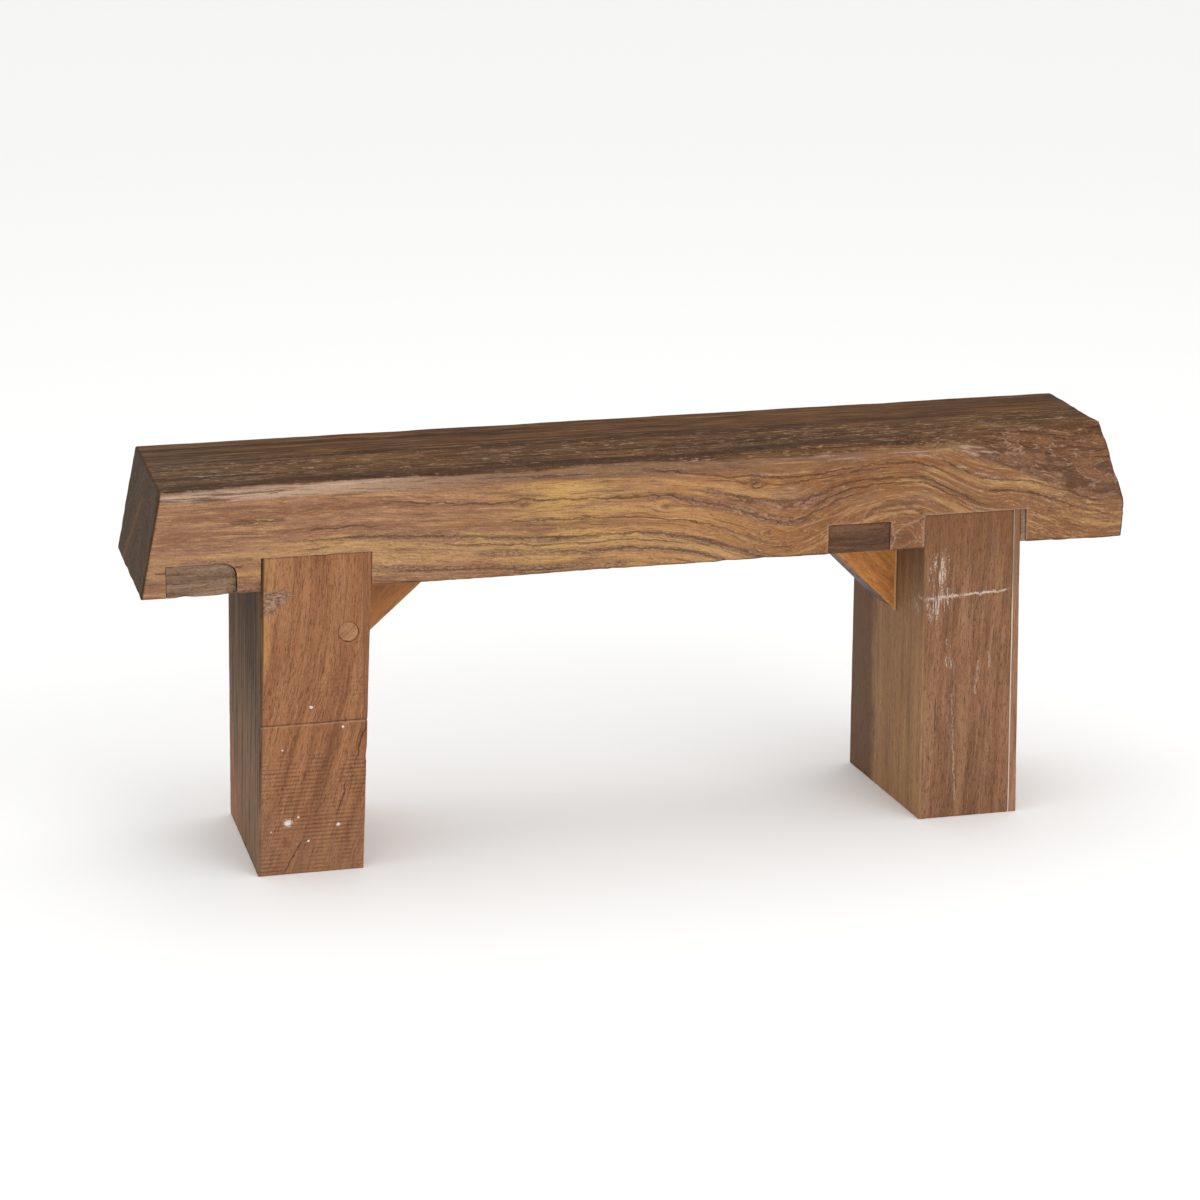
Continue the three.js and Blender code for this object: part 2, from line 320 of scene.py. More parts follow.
def settle(piece, node, material, sharp_degrees=50):
    """Shades a piece, gives it its material and puts it in the place of its CAD node."""
    data = piece.data
    data.materials.clear()
    data.materials.append(material)
    data.polygons.foreach_set("use_smooth", np.ones(len(data.polygons), bool))
    data.polygons.foreach_set("material_index", np.zeros(len(data.polygons), np.int32))
    data.set_sharp_from_angle(angle=math.radians(sharp_degrees))
    data.update()
    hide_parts(node)
    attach(piece, "root")


# === Materials ===


def colour(red, green, blue):
    """A linear colour from the usual 0 to 255 values."""
    channels = (value / 255 for value in (red, green, blue))
    return tuple(c / 12.92 if c <= 0.04045 else ((c + 0.055) / 1.055) ** 2.4 for c in channels) + (1.0,)


class Shader:
    """A small language for node materials: each call adds a node and gives back its output."""

    def __init__(self, name):
        self.material = bpy.data.materials.new(name)
        self.material.use_nodes = True
        self.tree = self.material.node_tree
        self.tree.nodes.clear()
        self.surface = self.tree.nodes.new("ShaderNodeBsdfPrincipled")
        output = self.tree.nodes.new("ShaderNodeOutputMaterial")
        self.tree.links.new(self.surface.outputs["BSDF"], output.inputs["Surface"])
        self.bent = None

    def add(self, kind, inputs=(), **settings):
        made = self.tree.nodes.new(kind)
        for name, value in settings.items():
            setattr(made, name, value)
        for key, value in dict(inputs).items():
            self.feed(made.inputs[key], value)
        return made

    def feed(self, socket, value):
        if isinstance(value, bpy.types.NodeSocket):
            self.tree.links.new(value, socket)
        else:
            socket.default_value = value

    def set(self, **inputs):
        for name, value in inputs.items():
            self.feed(self.surface.inputs[name.replace("_", " ").title().replace("Ior", "IOR")], value)

    def finish(self, surface, roughness, shine, height, depth, strength=0.9):
        """Joins colour, roughness, shine and relief to the surface, and gives back the material."""
        relief = self.add("ShaderNodeBump", {"Height": height, "Distance": depth, "Strength": strength})
        self.set(base_color=surface, roughness=roughness, specular_ior_level=shine)
        self.set(normal=relief.outputs["Normal"])
        return self.material

    def math(self, operation, first, second=0.5):
        return self.add("ShaderNodeMath", {0: first, 1: second}, operation=operation).outputs[0]

    def vector(self, operation, first, second=(0.0, 0.0, 0.0), output="Vector"):
        return self.add("ShaderNodeVectorMath", {0: first, 1: second}, operation=operation).outputs[output]

    def product(self, *values):
        return functools.reduce(functools.partial(self.math, "MULTIPLY"), values)

    def total(self, *values):
        return functools.reduce(functools.partial(self.math, "ADD"), values)

    def most(self, *values):
        return functools.reduce(functools.partial(self.math, "MAXIMUM"), values)

    def weighted(self, *pairs):
        """The sum of some values, each times its weight."""
        return self.total(*(self.product(value, weight) for value, weight in pairs))

    def swing(self, value, size):
        """A 0 to 1 noise as a swing about 0."""
        return self.product(self.math("SUBTRACT", value, 0.5), size)

    def off(self, value, middle):
        """How far a value is from a middle, on either side."""
        return self.math("ABSOLUTE", self.math("SUBTRACT", value, middle))

    def mix(self, share, first, second, blend="MIX"):
        inputs = {"Factor": share, 6: first, 7: second}
        settings = {"data_type": "RGBA", "blend_type": blend, "clamp_factor": True}
        return self.add("ShaderNodeMix", inputs, **settings).outputs[2]

    def between(self, value, low, high, to_low=0.0, to_high=1.0):
        """An easy climb from to_low to to_high as value goes from low to high."""
        inputs = {"Value": value, 1: low, 2: high, 3: to_low, 4: to_high}
        return self.add("ShaderNodeMapRange", inputs, interpolation_type="SMOOTHSTEP").outputs[0]

    def coats(self, surface, *coats):
        """Lays shades over a surface, by a mask and a share.

        A coat may also say, before its share, where its mask starts and where it is full.
        """
        for mask, *limits, share, shade in coats:
            cover = self.between(mask, *limits, 0.0, share) if limits else self.product(mask, share)
            surface = self.mix(cover, surface, colour(*shade))
        return surface

    def speckled(self, surface, tone, low, high, dark, light):
        """A surface darkened and lightened by a fine tone."""
        shades = (dark, dark - 0.01, dark - 0.02, 1.0), (light, light, light, 1.0)
        return self.mix(1.0, surface, self.mix(self.between(tone, low, high), *shades), "MULTIPLY")

    def attribute(self, name, output="Vector"):
        return self.add("ShaderNodeAttribute", attribute_name=name).outputs[output]

    def split(self, vector):
        return self.add("ShaderNodeSeparateXYZ", {0: vector}).outputs

    def place(self):
        return self.add("ShaderNodeTexCoord").outputs["Object"]

    def noise(self, vector, scale, detail=3.0, roughness=0.55, distortion=0.0):
        """A 0 to 1 noise, with its own number of features to the metre on each axis."""
        inputs = {
            "Vector": self.vector("MULTIPLY", vector, scale),
            "Scale": 1.0,
            "Detail": detail,
            "Roughness": roughness,
            "Distortion": distortion,
        }
        return self.add("ShaderNodeTexNoise", inputs).outputs["Fac"]

    def bend(self, amount, scale):
        """Bends the strokes that follow by a slow noise, so that they wander like real cracks."""
        slow = self.add("ShaderNodeTexNoise", {"Vector": self.place(), "Scale": scale, "Detail": 2.0})
        around = self.vector("ADD", slow.outputs["Color"], (-0.5, -0.5, -0.5))
        around = self.vector("MULTIPLY", around, (amount, amount, amount))
        self.bent = self.vector("ADD", self.place(), around)

    def stroke(self, start, end, width, wobble, taper):
        """A soft-edged line between two places (x, z) on the front of the bench, or a spot at one place."""
        first = Vector((start[0], FRONT_Y, start[1]))
        run = Vector((end[0], FRONT_Y, end[1])) - first
        away = self.vector("ADD", self.bent, tuple(-first))
        if run.length > 0:
            share = self.vector("DOT_PRODUCT", away, tuple(run / run.length_squared), "Value")
            share = self.math("MAXIMUM", self.math("MINIMUM", share, 1.0), 0.0)
            away = self.vector("SUBTRACT", away, self.vector("MULTIPLY", tuple(run), share))
        flat = self.vector("MULTIPLY", away, (1.0, 0.15, 1.0))
        distance = self.vector("LENGTH", flat, output="Value")
        if taper:
            middle = self.product(share, self.math("SUBTRACT", 1.0, share))
            distance = self.math("DIVIDE", distance, self.between(middle, 0.0, 0.20, 0.2, 1.0))
        distance = self.total(distance, self.product(wobble, width))
        return self.between(distance, width * 0.45, width, 1.0, 0.0)

    def strokes(self, surface, strength, shade, wobble, marks, taper=False):
        """Paints lines and spots on the front: each mark is its two ends (x, z) and its half width."""
        for start, end, width in marks:
            surface = self.coats(surface, (self.stroke(start, end, width, wobble, taper), strength, shade))
        return surface

    def line(self, across, along, middle, width, start, end):
        """A thin line where across is near middle, between two places along it."""
        thin = self.between(self.off(across, middle), width * 0.4, width, 1.0, 0.0)
        soft = (end - start) * 0.12
        begins = self.between(along, start, start + soft)
        ends = self.between(along, end - soft, end, 1.0, 0.0)
        return self.product(thin, begins, ends)


def fibres(shader, grain, along, across):
    """The three scales of the grain: broad bands, streaks and fine fibres, each about 0 to 1."""
    bands = shader.noise(grain, (along * 0.22, across * 0.2, across * 0.2), 2.0, 0.5)
    streaks = shader.noise(grain, (along, across, across), 4.0, 0.6)
    fine = shader.noise(grain, (along * 5, across * 4.5, across * 4.5), 3.0, 0.6)
    return bands, streaks, fine


def timber(shader, base, light, dark, along, across):
    """A wood colour from three shades, and the streaks, fibres and pores that it is made of."""
    grain = shader.attribute("grain")
    bands, streaks, fine = fibres(shader, grain, along, across)
    pores = shader.noise(grain, (along * 8, across * 4, across * 4), 2.0, 0.7)
    pores = shader.between(pores, 0.57, 0.66)
    wood = shader.coats(
        colour(*base),
        (bands, 0.50, 0.66, 0.6, light),
        (bands, 0.48, 0.34, 0.45, dark),
        (streaks, 0.46, 0.34, 0.6, dark),
        (streaks, 0.54, 0.66, 0.55, light),
        (pores, 0.0, 1.0, 0.6, [value * 0.7 for value in dark]),
    )
    speck = shader.noise(shader.place(), (560, 560, 560), 2.0, 0.75)
    wood = shader.speckled(wood, shader.weighted((speck, 0.5), (fine, 0.5)), 0.32, 0.68, 0.80, 1.17)
    return wood, streaks, fine, pores


def seat_material():
    """Honey-coloured front, dark worn top, rough waney end and grey-brown end grain."""
    shader = Shader("seat_wood_worn")
    grain = shader.attribute("grain")
    top, wane, end = shader.split(shader.attribute("zone"))
    crust, edge_band, residue = shader.split(shader.attribute("marks"))
    coarse, knot, rim = shader.split(shader.attribute("wear"))
    along, across, _ = shader.split(grain)
    x, y, z = shader.split(shader.place())
    bands, streaks, fine = fibres(shader, grain, 11.0, 250.0)
    dashes = shader.noise(grain, (62, 640, 640), 2.0, 0.6)
    crumbs = shader.noise(grain, (190, 560, 560), 3.0, 0.75)
    speck = shader.noise(shader.place(), (430, 430, 640), 2.0, 0.75)
    blotch = shader.noise(shader.place(), (9, 20, 24), 3.0, 0.6)
    mottle = shader.noise(shader.place(), (60, 90, 130), 3.0, 0.65)

    # The front: hue along the bench, then bands, streaks and short dashes
    hue = shader.add("ShaderNodeValToRGB", {"Fac": shader.between(x, BEAM_LOW[0], BEAM_HIGH[0])})
    stops = hue.color_ramp.elements
    while len(stops) < len(FRONT_HUES):
        stops.new(0.5)
    for stop, (position, shade) in zip(stops, FRONT_HUES):
        stop.position = position
        stop.color = colour(*shade)
    rough = shader.product(coarse, shader.between(mottle, 0.40, 0.60))
    front = shader.coats(
        hue.outputs["Color"],
        (bands, 0.50, 0.64, 0.7, (188, 147, 96)),
        (bands, 0.48, 0.36, 0.65, (134, 92, 64)),
        (blotch, 0.54, 0.72, 0.4, (172, 117, 68)),
        (blotch, 0.46, 0.30, 0.55, (138, 101, 78)),
        (streaks, 0.46, 0.35, 0.6, (118, 80, 56)),
        (streaks, 0.54, 0.66, 0.5, (196, 155, 104)),
        (dashes, 0.56, 0.66, 0.5, (104, 68, 48)),
        (dashes, 0.42, 0.33, 0.35, (198, 160, 112)),
        (shader.product(rough, shader.between(crumbs, 0.48, 0.38)), 0.0, 1.0, 0.55, (118, 80, 62)),
        (shader.product(rough, shader.between(crumbs, 0.53, 0.63)), 0.0, 1.0, 0.5, (204, 168, 130)),
    )

    # Crusts: violet-brown and pale crumbs, thickest along the grain
    crust_shape = shader.total(crust, shader.weighted((crumbs, 0.6), (mottle, 0.3)))
    crust_shape = shader.between(crust_shape, 0.80, 1.10)
    crust_colour = shader.mix(shader.between(crumbs, 0.40, 0.60), colour(108, 74, 60), colour(164, 128, 106))
    front = shader.mix(shader.product(crust_shape, 0.62), front, crust_colour)

    # The worn arris between the front and the top
    arris = shader.coats(
        colour(182, 150, 126),
        (x, -0.45, -0.12, 1.0, (130, 96, 68)),
        (bands, 0.48, 0.38, 0.6, (98, 68, 48)),
        (streaks, 0.47, 0.36, 0.8, (84, 58, 41)),
        (dashes, 0.55, 0.66, 0.5, (160, 131, 109)),
    )

    # The top: dark brown, greyer at the left end, with pale flecks in its fissures
    flecks = shader.noise(grain, (75, 560, 560), 3.0, 0.65)
    fleck_zone = shader.between(y, 0.055, -0.02, 0.12, 1.0)
    fleck = shader.product(shader.between(flecks, 0.56, 0.63), shader.between(mottle, 0.40, 0.54), fleck_zone)
    top_colour = shader.coats(
        colour(90, 60, 35),
        (x, -0.30, -0.55, 1.0, (90, 68, 50)),
        (blotch, 0.50, 0.66, 0.6, (108, 75, 42)),
        (bands, 0.49, 0.38, 0.8, (65, 42, 25)),
        (streaks, 0.47, 0.37, 0.85, (53, 34, 20)),
        (streaks, 0.54, 0.64, 0.65, (126, 95, 62)),
        (fleck, 0.0, 1.0, 0.8, (176, 148, 122)),
        (rim, 0.0, 1.0, 0.75, (58, 37, 23)),
    )

    # The waney end: reddish grey-brown, with pale ridges
    ridged = shader.noise(grain, (22, 70, 70), 3.0, 0.6, 0.5)
    ridge = shader.between(shader.off(ridged, 0.5), 0.030, 0.008)
    wane_colour = shader.coats(
        colour(94, 63, 44),
        (ridged, 0.38, 0.62, 1.0, (124, 87, 61)),
        (mottle, 0.52, 0.66, 0.4, (140, 98, 68)),
        (crumbs, 0.48, 0.38, 0.5, (88, 60, 46)),
        (crumbs, 0.54, 0.64, 0.35, (156, 120, 92)),
        (streaks, 0.48, 0.34, 0.6, (80, 54, 40)),
        (shader.product(ridge, shader.between(mottle, 0.42, 0.58)), 0.0, 1.0, 0.4, (178, 148, 128)),
    )

    # End grain: growth rings round a pith, a warm split on the left
    from_pith = shader.vector("MULTIPLY", shader.vector("ADD", grain, PITH_SHIFT), (0.0, 1.0, 1.0))
    radius = shader.total(shader.vector("LENGTH", from_pith, output="Value"), shader.product(mottle, 0.006))
    rings = shader.noise(radius, (RINGS_PER_METRE,) * 3, 3.0, 0.7)
    leaning = shader.total(y, shader.weighted((z, 0.75), (blotch, 0.05)), -0.015)
    end_colour = shader.coats(
        colour(60, 42, 27),
        (rings, 0.38, 0.62, 1.0, (80, 57, 36)),
        (mottle, 0.55, 0.68, 0.4, (92, 66, 42)),
        (speck, 0.46, 0.36, 0.5, (42, 30, 22)),
        (shader.line(leaning, z, 0.318, 0.010, 0.325, 0.425), 0.0, 1.0, 0.45, (112, 72, 44)),
    )

    surface = front
    for zone, shades in ((edge_band, arris), (top, top_colour), (wane, wane_colour), (end, end_colour)):
        surface = shader.mix(zone, surface, shades)

    # Knots and pale residue, long thin lines along the grain, glue along the joints, and fissures
    knotty = shader.total(knot, shader.product(mottle, 0.5))
    chalk = shader.total(residue, shader.weighted((speck, 0.3), (dashes, 0.3), (mottle, 0.3)))
    wandering = shader.total(across, shader.swing(mottle, 0.009))
    lines = [shader.line(wandering, along, middle, width, *ends) for middle, *ends, width in GRAIN_LINES]
    on_front = shader.between(y, FRONT_Y + 0.012, FRONT_Y + 0.006)
    lines = shader.product(shader.most(*lines), on_front, shader.between(crumbs, 0.34, 0.54, 0.15, 1.0))
    surface = shader.coats(
        surface,
        (knotty, 0.45, 1.0, 0.5, (92, 60, 44)),
        (chalk, 0.80, 1.15, 0.52, (188, 162, 138)),
        (lines, 0.5, (92, 60, 46)),
    )
    shader.bend(0.005, 75.0)
    surface = shader.strokes(surface, 0.5, (164, 132, 116), shader.swing(speck, 2.6), GLUE_LINES)
    fissures = shader.between(shader.noise(grain, (13, 470, 470), 3.0, 0.6), 0.36, 0.30)
    fissures = shader.product(fissures, shader.between(top, 0.0, 1.0, 0.35, 0.95))
    surface = shader.coats(surface, (fissures, 1.0, (52, 35, 25)))
    surface = shader.speckled(surface, shader.weighted((speck, 0.55), (fine, 0.45)), 0.30, 0.70, 0.78, 1.20)

    dull = shader.weighted((crust_shape, 0.15), (top, 0.12), (wane, 0.12))
    crumbly = shader.total(0.2, shader.weighted((crust_shape, 0.9), (coarse, 0.5)))
    height = shader.weighted(
        (streaks, 0.8), (fine, 0.4), (dashes, -0.5), (fissures, -0.9), (lines, -1.2), (crumbs, crumbly)
    )
    roughness = shader.total(shader.between(streaks, 0.3, 0.7, 0.52, 0.68), dull)
    shine = shader.between(shader.total(top, end), 0.0, 1.0, 0.20, 0.05)
    return shader.finish(surface, roughness, shine, height, 0.0014)


# === The seat beam ===

END_LEAN = 0.024
END_SKEW = 0.005
BACK_LEFT_Y = 0.1115
PITH_SHIFT = (0.0, -0.362, 0.025)
RINGS_PER_METRE = 330
TORN_FOOT = (-0.466, -0.437)
GROOVE_DEPTH = 0.33

# The hues of the front along the seat, from the left end at 0 to the right end at 1
FRONT_HUES = [
    (0.0, (156, 114, 86)),
    (0.26, (154, 112, 82)),
    (0.37, (190, 149, 88)),
    (0.47, (178, 131, 84)),
    (0.60, (170, 122, 76)),
    (0.76, (138, 91, 50)),
    (1.0, (138, 95, 61)),
]

# Thin dark lines in the front of the seat: place across the grain, first and last place along it, width
GRAIN_LINES = [
    (0.4300, -0.030, 0.370, 0.0013),
    (0.4245, 0.060, 0.300, 0.0009),
    (0.4120, 0.060, 0.430, 0.0015),
    (0.4055, 0.180, 0.420, 0.0010),
    (0.4000, -0.330, 0.290, 0.0011),
    (0.3860, -0.475, -0.405, 0.0014),
    (0.3790, -0.180, 0.120, 0.0009),
    (0.3720, -0.390, -0.300, 0.0010),
    (0.3600, -0.445, 0.190, 0.0015),
    (0.3520, -0.250, 0.060, 0.0011),
    (0.3430, -0.120, 0.150, 0.0010),
    (0.3350, -0.560, -0.450, 0.0011),
    (0.3230, -0.300, -0.080, 0.0012),
    (0.4420, 0.330, 0.560, 0.0012),
    (0.4290, 0.400, 0.565, 0.0012),
]

# Weathered crusts along the grain: place across it, first and last place along it, half width, strength
CRUST_BANDS = [
    (0.4000, 0.045, 0.190, 0.0045, 1.0),
    (0.3990, -0.005, 0.040, 0.0050, 0.95),
    (0.4110, 0.065, 0.210, 0.0035, 0.95),
    (0.4110, 0.300, 0.400, 0.0030, 0.7),
    (0.4300, 0.120, 0.142, 0.0045, 1.0),
    (0.3610, -0.340, -0.205, 0.0050, 0.85),
    (0.3590, -0.190, -0.060, 0.0040, 0.95),
    (0.3600, -0.010, 0.150, 0.0045, 0.9),
    (0.3420, -0.200, 0.120, 0.0050, 0.75),
    (0.3240, -0.330, -0.020, 0.0060, 0.85),
    (0.4050, -0.160, -0.110, 0.0060, 0.6),
]

# Dried glue and filler on the front: first and last place (x, z) and half width
GLUE_LINES = [
    ((0.328, 0.3708), (0.456, 0.3700), 0.0016),
    ((0.4565, 0.371), (0.4560, 0.332), 0.0014),
    ((0.330, 0.369), (0.330, 0.333), 0.0014),
    ((0.214, 0.366), (0.252, 0.3665), 0.0014),
    ((0.214, 0.366), (0.2135, 0.333), 0.0013),
    ((0.255, 0.370), (0.264, 0.386), 0.0013),
    ((0.264, 0.386), (0.282, 0.391), 0.0013),
    ((0.291, 0.362), (0.295, 0.346), 0.0020),
    ((0.295, 0.346), (0.291, 0.332), 0.0014),
    ((0.295, 0.351), (0.311, 0.361), 0.0014),
    ((0.311, 0.361), (0.329, 0.369), 0.0015),
    ((0.181, 0.366), (0.218, 0.376), 0.0013),
    ((0.218, 0.376), (0.254, 0.387), 0.0013),
    ((0.311, 0.356), (0.328, 0.336), 0.0010),
    ((-0.437, 0.3700), (-0.316, 0.3706), 0.0010),
    ((-0.542, 0.3675), (-0.500, 0.3675), 0.0012),
]

# Knots in the front face: x, z and radius
FRONT_KNOTS = [
    (0.303, 0.346, 0.020),
    (0.128, 0.420, 0.006),
    (0.143, 0.362, 0.007),
    (0.022, 0.402, 0.008),
    (-0.142, 0.413, 0.005),
    (-0.410, 0.437, 0.004),
    (-0.297, 0.356, 0.004),
]


def top_setback(x):
    """How far the flat top starts behind the front face."""
    widening = 0.010 * ramp(x, -0.53, -0.33) + 0.032 * ramp(x, 0.01, 0.30)
    return 0.006 + widening + 0.025 * ramp(x, 0.34, 0.571)


def arris_drop(x):
    """How far the front face ends below the top."""
    return 0.008 + 0.002 * ramp(x, 0.0, 0.37) + 0.066 * ramp(x, 0.35, 0.56)


def beam_shape(points):
    """Carries the unit box into the beam: leaning left end, flared back and waney front edge."""
    along, deep, up = points.T
    left_x = BEAM_LOW[0] + END_LEAN * up + END_SKEW * deep
    x = lerp(left_x, BEAM_HIGH[0], along)
    bulge = 0.0105 * ramp(x, 0.45, 0.571)
    front = FRONT_Y - bulge * (0.6 + 0.4 * up) - 0.0015 * np.sin(math.pi * up) * ramp(x, -0.5, -0.2)
    back = lerp(BACK_LEFT_Y, BEAM_HIGH[1], along)
    y = lerp(front, back, deep**1.3)
    toward_front = np.clip(1 - (y - FRONT_Y + bulge) / (top_setback(x) + bulge), 0, 1)
    rounded_fall = toward_front**1.5
    waney_fall = 0.7 * toward_front + 0.3 * toward_front**2
    fall = lerp(rounded_fall, waney_fall, ramp(x, 0.30, 0.45))
    z = lerp(UNDERSIDE, SEAT_TOP - arris_drop(x) * fall, up)
    return columns(x, y, z)


def front_flow(points):
    """How far the grain in the front of the beam is carried up or down at each point."""
    x, _, z = points.T
    low = 1 - ramp(z, 0.365, 0.425)
    rise = 0.014 * (1 - ramp(x, -0.04, 0.11)) + 0.012 * (1 - ramp(x, -0.36, -0.10))
    trough = -(0.008 + 0.022 * low) * bell(x, 0.165, 0.068)
    fall = -0.037 * ramp(x, 0.31, 0.42) - 0.030 * ramp(x, 0.42, 0.56)
    ripple = 0.0022 * layered_noise(points, (0.10, 0.4, 0.04), 11, 2)
    return rise + trough + fall + ripple


def beam_grain(points):
    """Place in the timber: along the grain, and twice across it."""
    x, y, z = points.T
    across = z - front_flow(points) * near_front(y, 0.01, 0.08)
    deep = y + 0.006 * layered_noise(points, (0.22, 0.05, 0.3), 23, 2)
    for knot_x, knot_z, radius in FRONT_KNOTS:
        squared = ((x - knot_x) / 1.6) ** 2 + (z - knot_z) ** 2 + ((y - FRONT_Y) * 0.6) ** 2
        across -= (z - knot_z) * 0.8 * radius**2 / (squared + (0.55 * radius) ** 2)
    return columns(x, across, deep)


def left_end_x(y, z):
    """The x of the beam's leaning left end."""
    up = (z - UNDERSIDE) / THICKNESS
    deep = (y - FRONT_Y) / (BACK_Y - FRONT_Y)
    return BEAM_LOW[0] + END_LEAN * up + END_SKEW * deep


def above_arris(x, z):
    """How far up a point is on the worn arris: 0 at the front face and 1 at the top."""
    return (z - SEAT_TOP + arris_drop(x)) / arris_drop(x)


def beam_noises(points):
    """Two noises that fray the edges of the marks: one blurred, and one streaky along the grain."""
    return layered_noise(points, (0.05, 0.012, 0.012), 31), layered_noise(points, (0.12, 0.006, 0.006), 37)


def beam_zones(points, blur, streaky):
    """Where the beam is dark top, waney end or end grain, and where its worn arris shows."""
    x, y, z = points.T
    above = above_arris(x, z)
    spilling = ramp(x, 0.02, 0.14)
    low_edge, high_edge = lerp(0.62, 0.10, spilling), lerp(0.92, 0.90, spilling)
    top = ramp(above + 0.14 * blur + 0.10 * streaky, low_edge, high_edge)
    top = np.maximum(top, ramp(y, BEAM_HIGH[1] - 0.02, BEAM_HIGH[1] - 0.008) * 0.75)
    top = np.maximum(top, (1 - ramp(z, UNDERSIDE + 0.001, UNDERSIDE + 0.003)) * 0.6)
    band_foot = SEAT_TOP - arris_drop(x) - 0.0045 + 0.0012 * blur
    band = ramp(z, band_foot - 0.0012, band_foot + 0.0012) * (1 - ramp(x + 0.04 * streaky, 0.06, 0.20))
    soft = 0.6 * ramp(z, band_foot - 0.008, band_foot + 0.004) * within(x, 0.02, 0.26, 0.05)
    band = np.maximum(band, soft * (0.8 + 0.5 * streaky))
    edge_y = FRONT_Y + top_setback(x)
    wane = ramp(x + 0.02 * blur, 0.345, 0.42) * ramp(above, 0.0, 0.12)
    wane *= 1 - ramp(y + 0.010 * blur, edge_y - 0.004, edge_y + 0.018)
    inside = x - left_end_x(y, z)
    end = np.maximum(1 - ramp(inside, 0.0015, 0.0035), ramp(x, 0.5690, 0.5705))
    return columns(top, wane, end), np.clip(band, 0, 1)


def beam_marks(points, grain, blur, streaky):
    """Where the beam is crusted, pale with residue, coarse, knotty, and dark along the edge of its top."""
    x, y, z = points.T
    on_front = near_front(y, 0.006, 0.02)
    crust = np.zeros(len(points))
    for middle, start, end, width, strength in CRUST_BANDS:
        swell = np.maximum(width * (1 + 0.6 * blur), 0.001)
        band = bell(grain[:, 1], middle, swell) * within(grain[:, 0], start, end, 0.015)
        crust = np.maximum(crust, strength * band)
    crust = np.maximum(crust, 0.75 * within(x, -0.53, -0.44, 0.02) * bell(z, 0.3695, 0.0035))
    torn = within(x, *TORN_FOOT, 0.003) * within(z, 0.332, 0.3405, 0.002)
    crust = np.maximum(crust, torn) * on_front
    above = above_arris(x, z)
    on_arris = bell(above, 0.72, 0.22) * near_front(y, 0.02, 0.03)
    off_end = ramp(x - left_end_x(y, z), 0.002, 0.010)
    residue = on_arris * off_end * (1 - ramp(x, -0.42, -0.12)) * (0.80 + 0.9 * streaky)
    chips = bell(above, 0.25, 0.45) * within(x, 0.19, 0.35, 0.02) * (0.30 + 0.9 * streaky)
    falling = ramp(x, 0.315, 0.435)
    upper, lower = lerp(0.458, 0.433, falling), lerp(0.440, 0.406, falling)
    sliver = np.maximum(bell(z, upper, 0.006), bell(z, lower, 0.004))
    sliver *= within(x, 0.315, 0.43, 0.012) * (0.5 + 0.9 * streaky)
    edge_y = FRONT_Y + top_setback(x)
    sliver *= 1 - ramp(y, edge_y - 0.014, edge_y - 0.002)
    flakes = within(x, 0.24, 0.40, 0.03) * bell(y, -0.035, 0.035) * ramp(z, 0.446, 0.448)
    flakes *= 0.15 + 0.8 * blur
    residue = np.clip(np.maximum.reduce([residue, chips, sliver, flakes]), 0, 1)
    low_part = 1 - ramp(z + 0.010 * blur, 0.375, 0.405)
    coarse = low_part * (0.35 + 0.5 * ramp(x, -0.50, -0.25)) + 0.5 * ramp(x + 0.03 * blur, 0.30, 0.42)
    coarse = np.clip(coarse + 0.35 * blur, 0, 1) * on_front
    knot = np.zeros(len(points))
    for knot_x, knot_z, radius in FRONT_KNOTS:
        squared = ((x - knot_x) / 2.0) ** 2 + (z - knot_z) ** 2
        knot = np.maximum(knot, 0.75 * np.exp(-squared / (0.6 * radius) ** 2) * on_front)
    from_dome = np.hypot((x - 0.292) / 1.15, z - 0.352) + 0.004 * blur
    dome = np.maximum(bell(from_dome, 0.035, 0.0028), 0.9 * bell(from_dome, 0.0235, 0.0022))
    knot = np.maximum(knot, dome * on_front * ramp(z, 0.362, 0.368) * (0.9 + 0.5 * streaky))
    rim = bell(y + 0.006 * streaky, edge_y + 0.010, 0.013) * ramp(z, 0.44, 0.448)
    rim *= within(x, -0.56, 0.30, 0.08)
    return crust, residue, columns(coarse, knot, np.clip(rim, 0, 1))


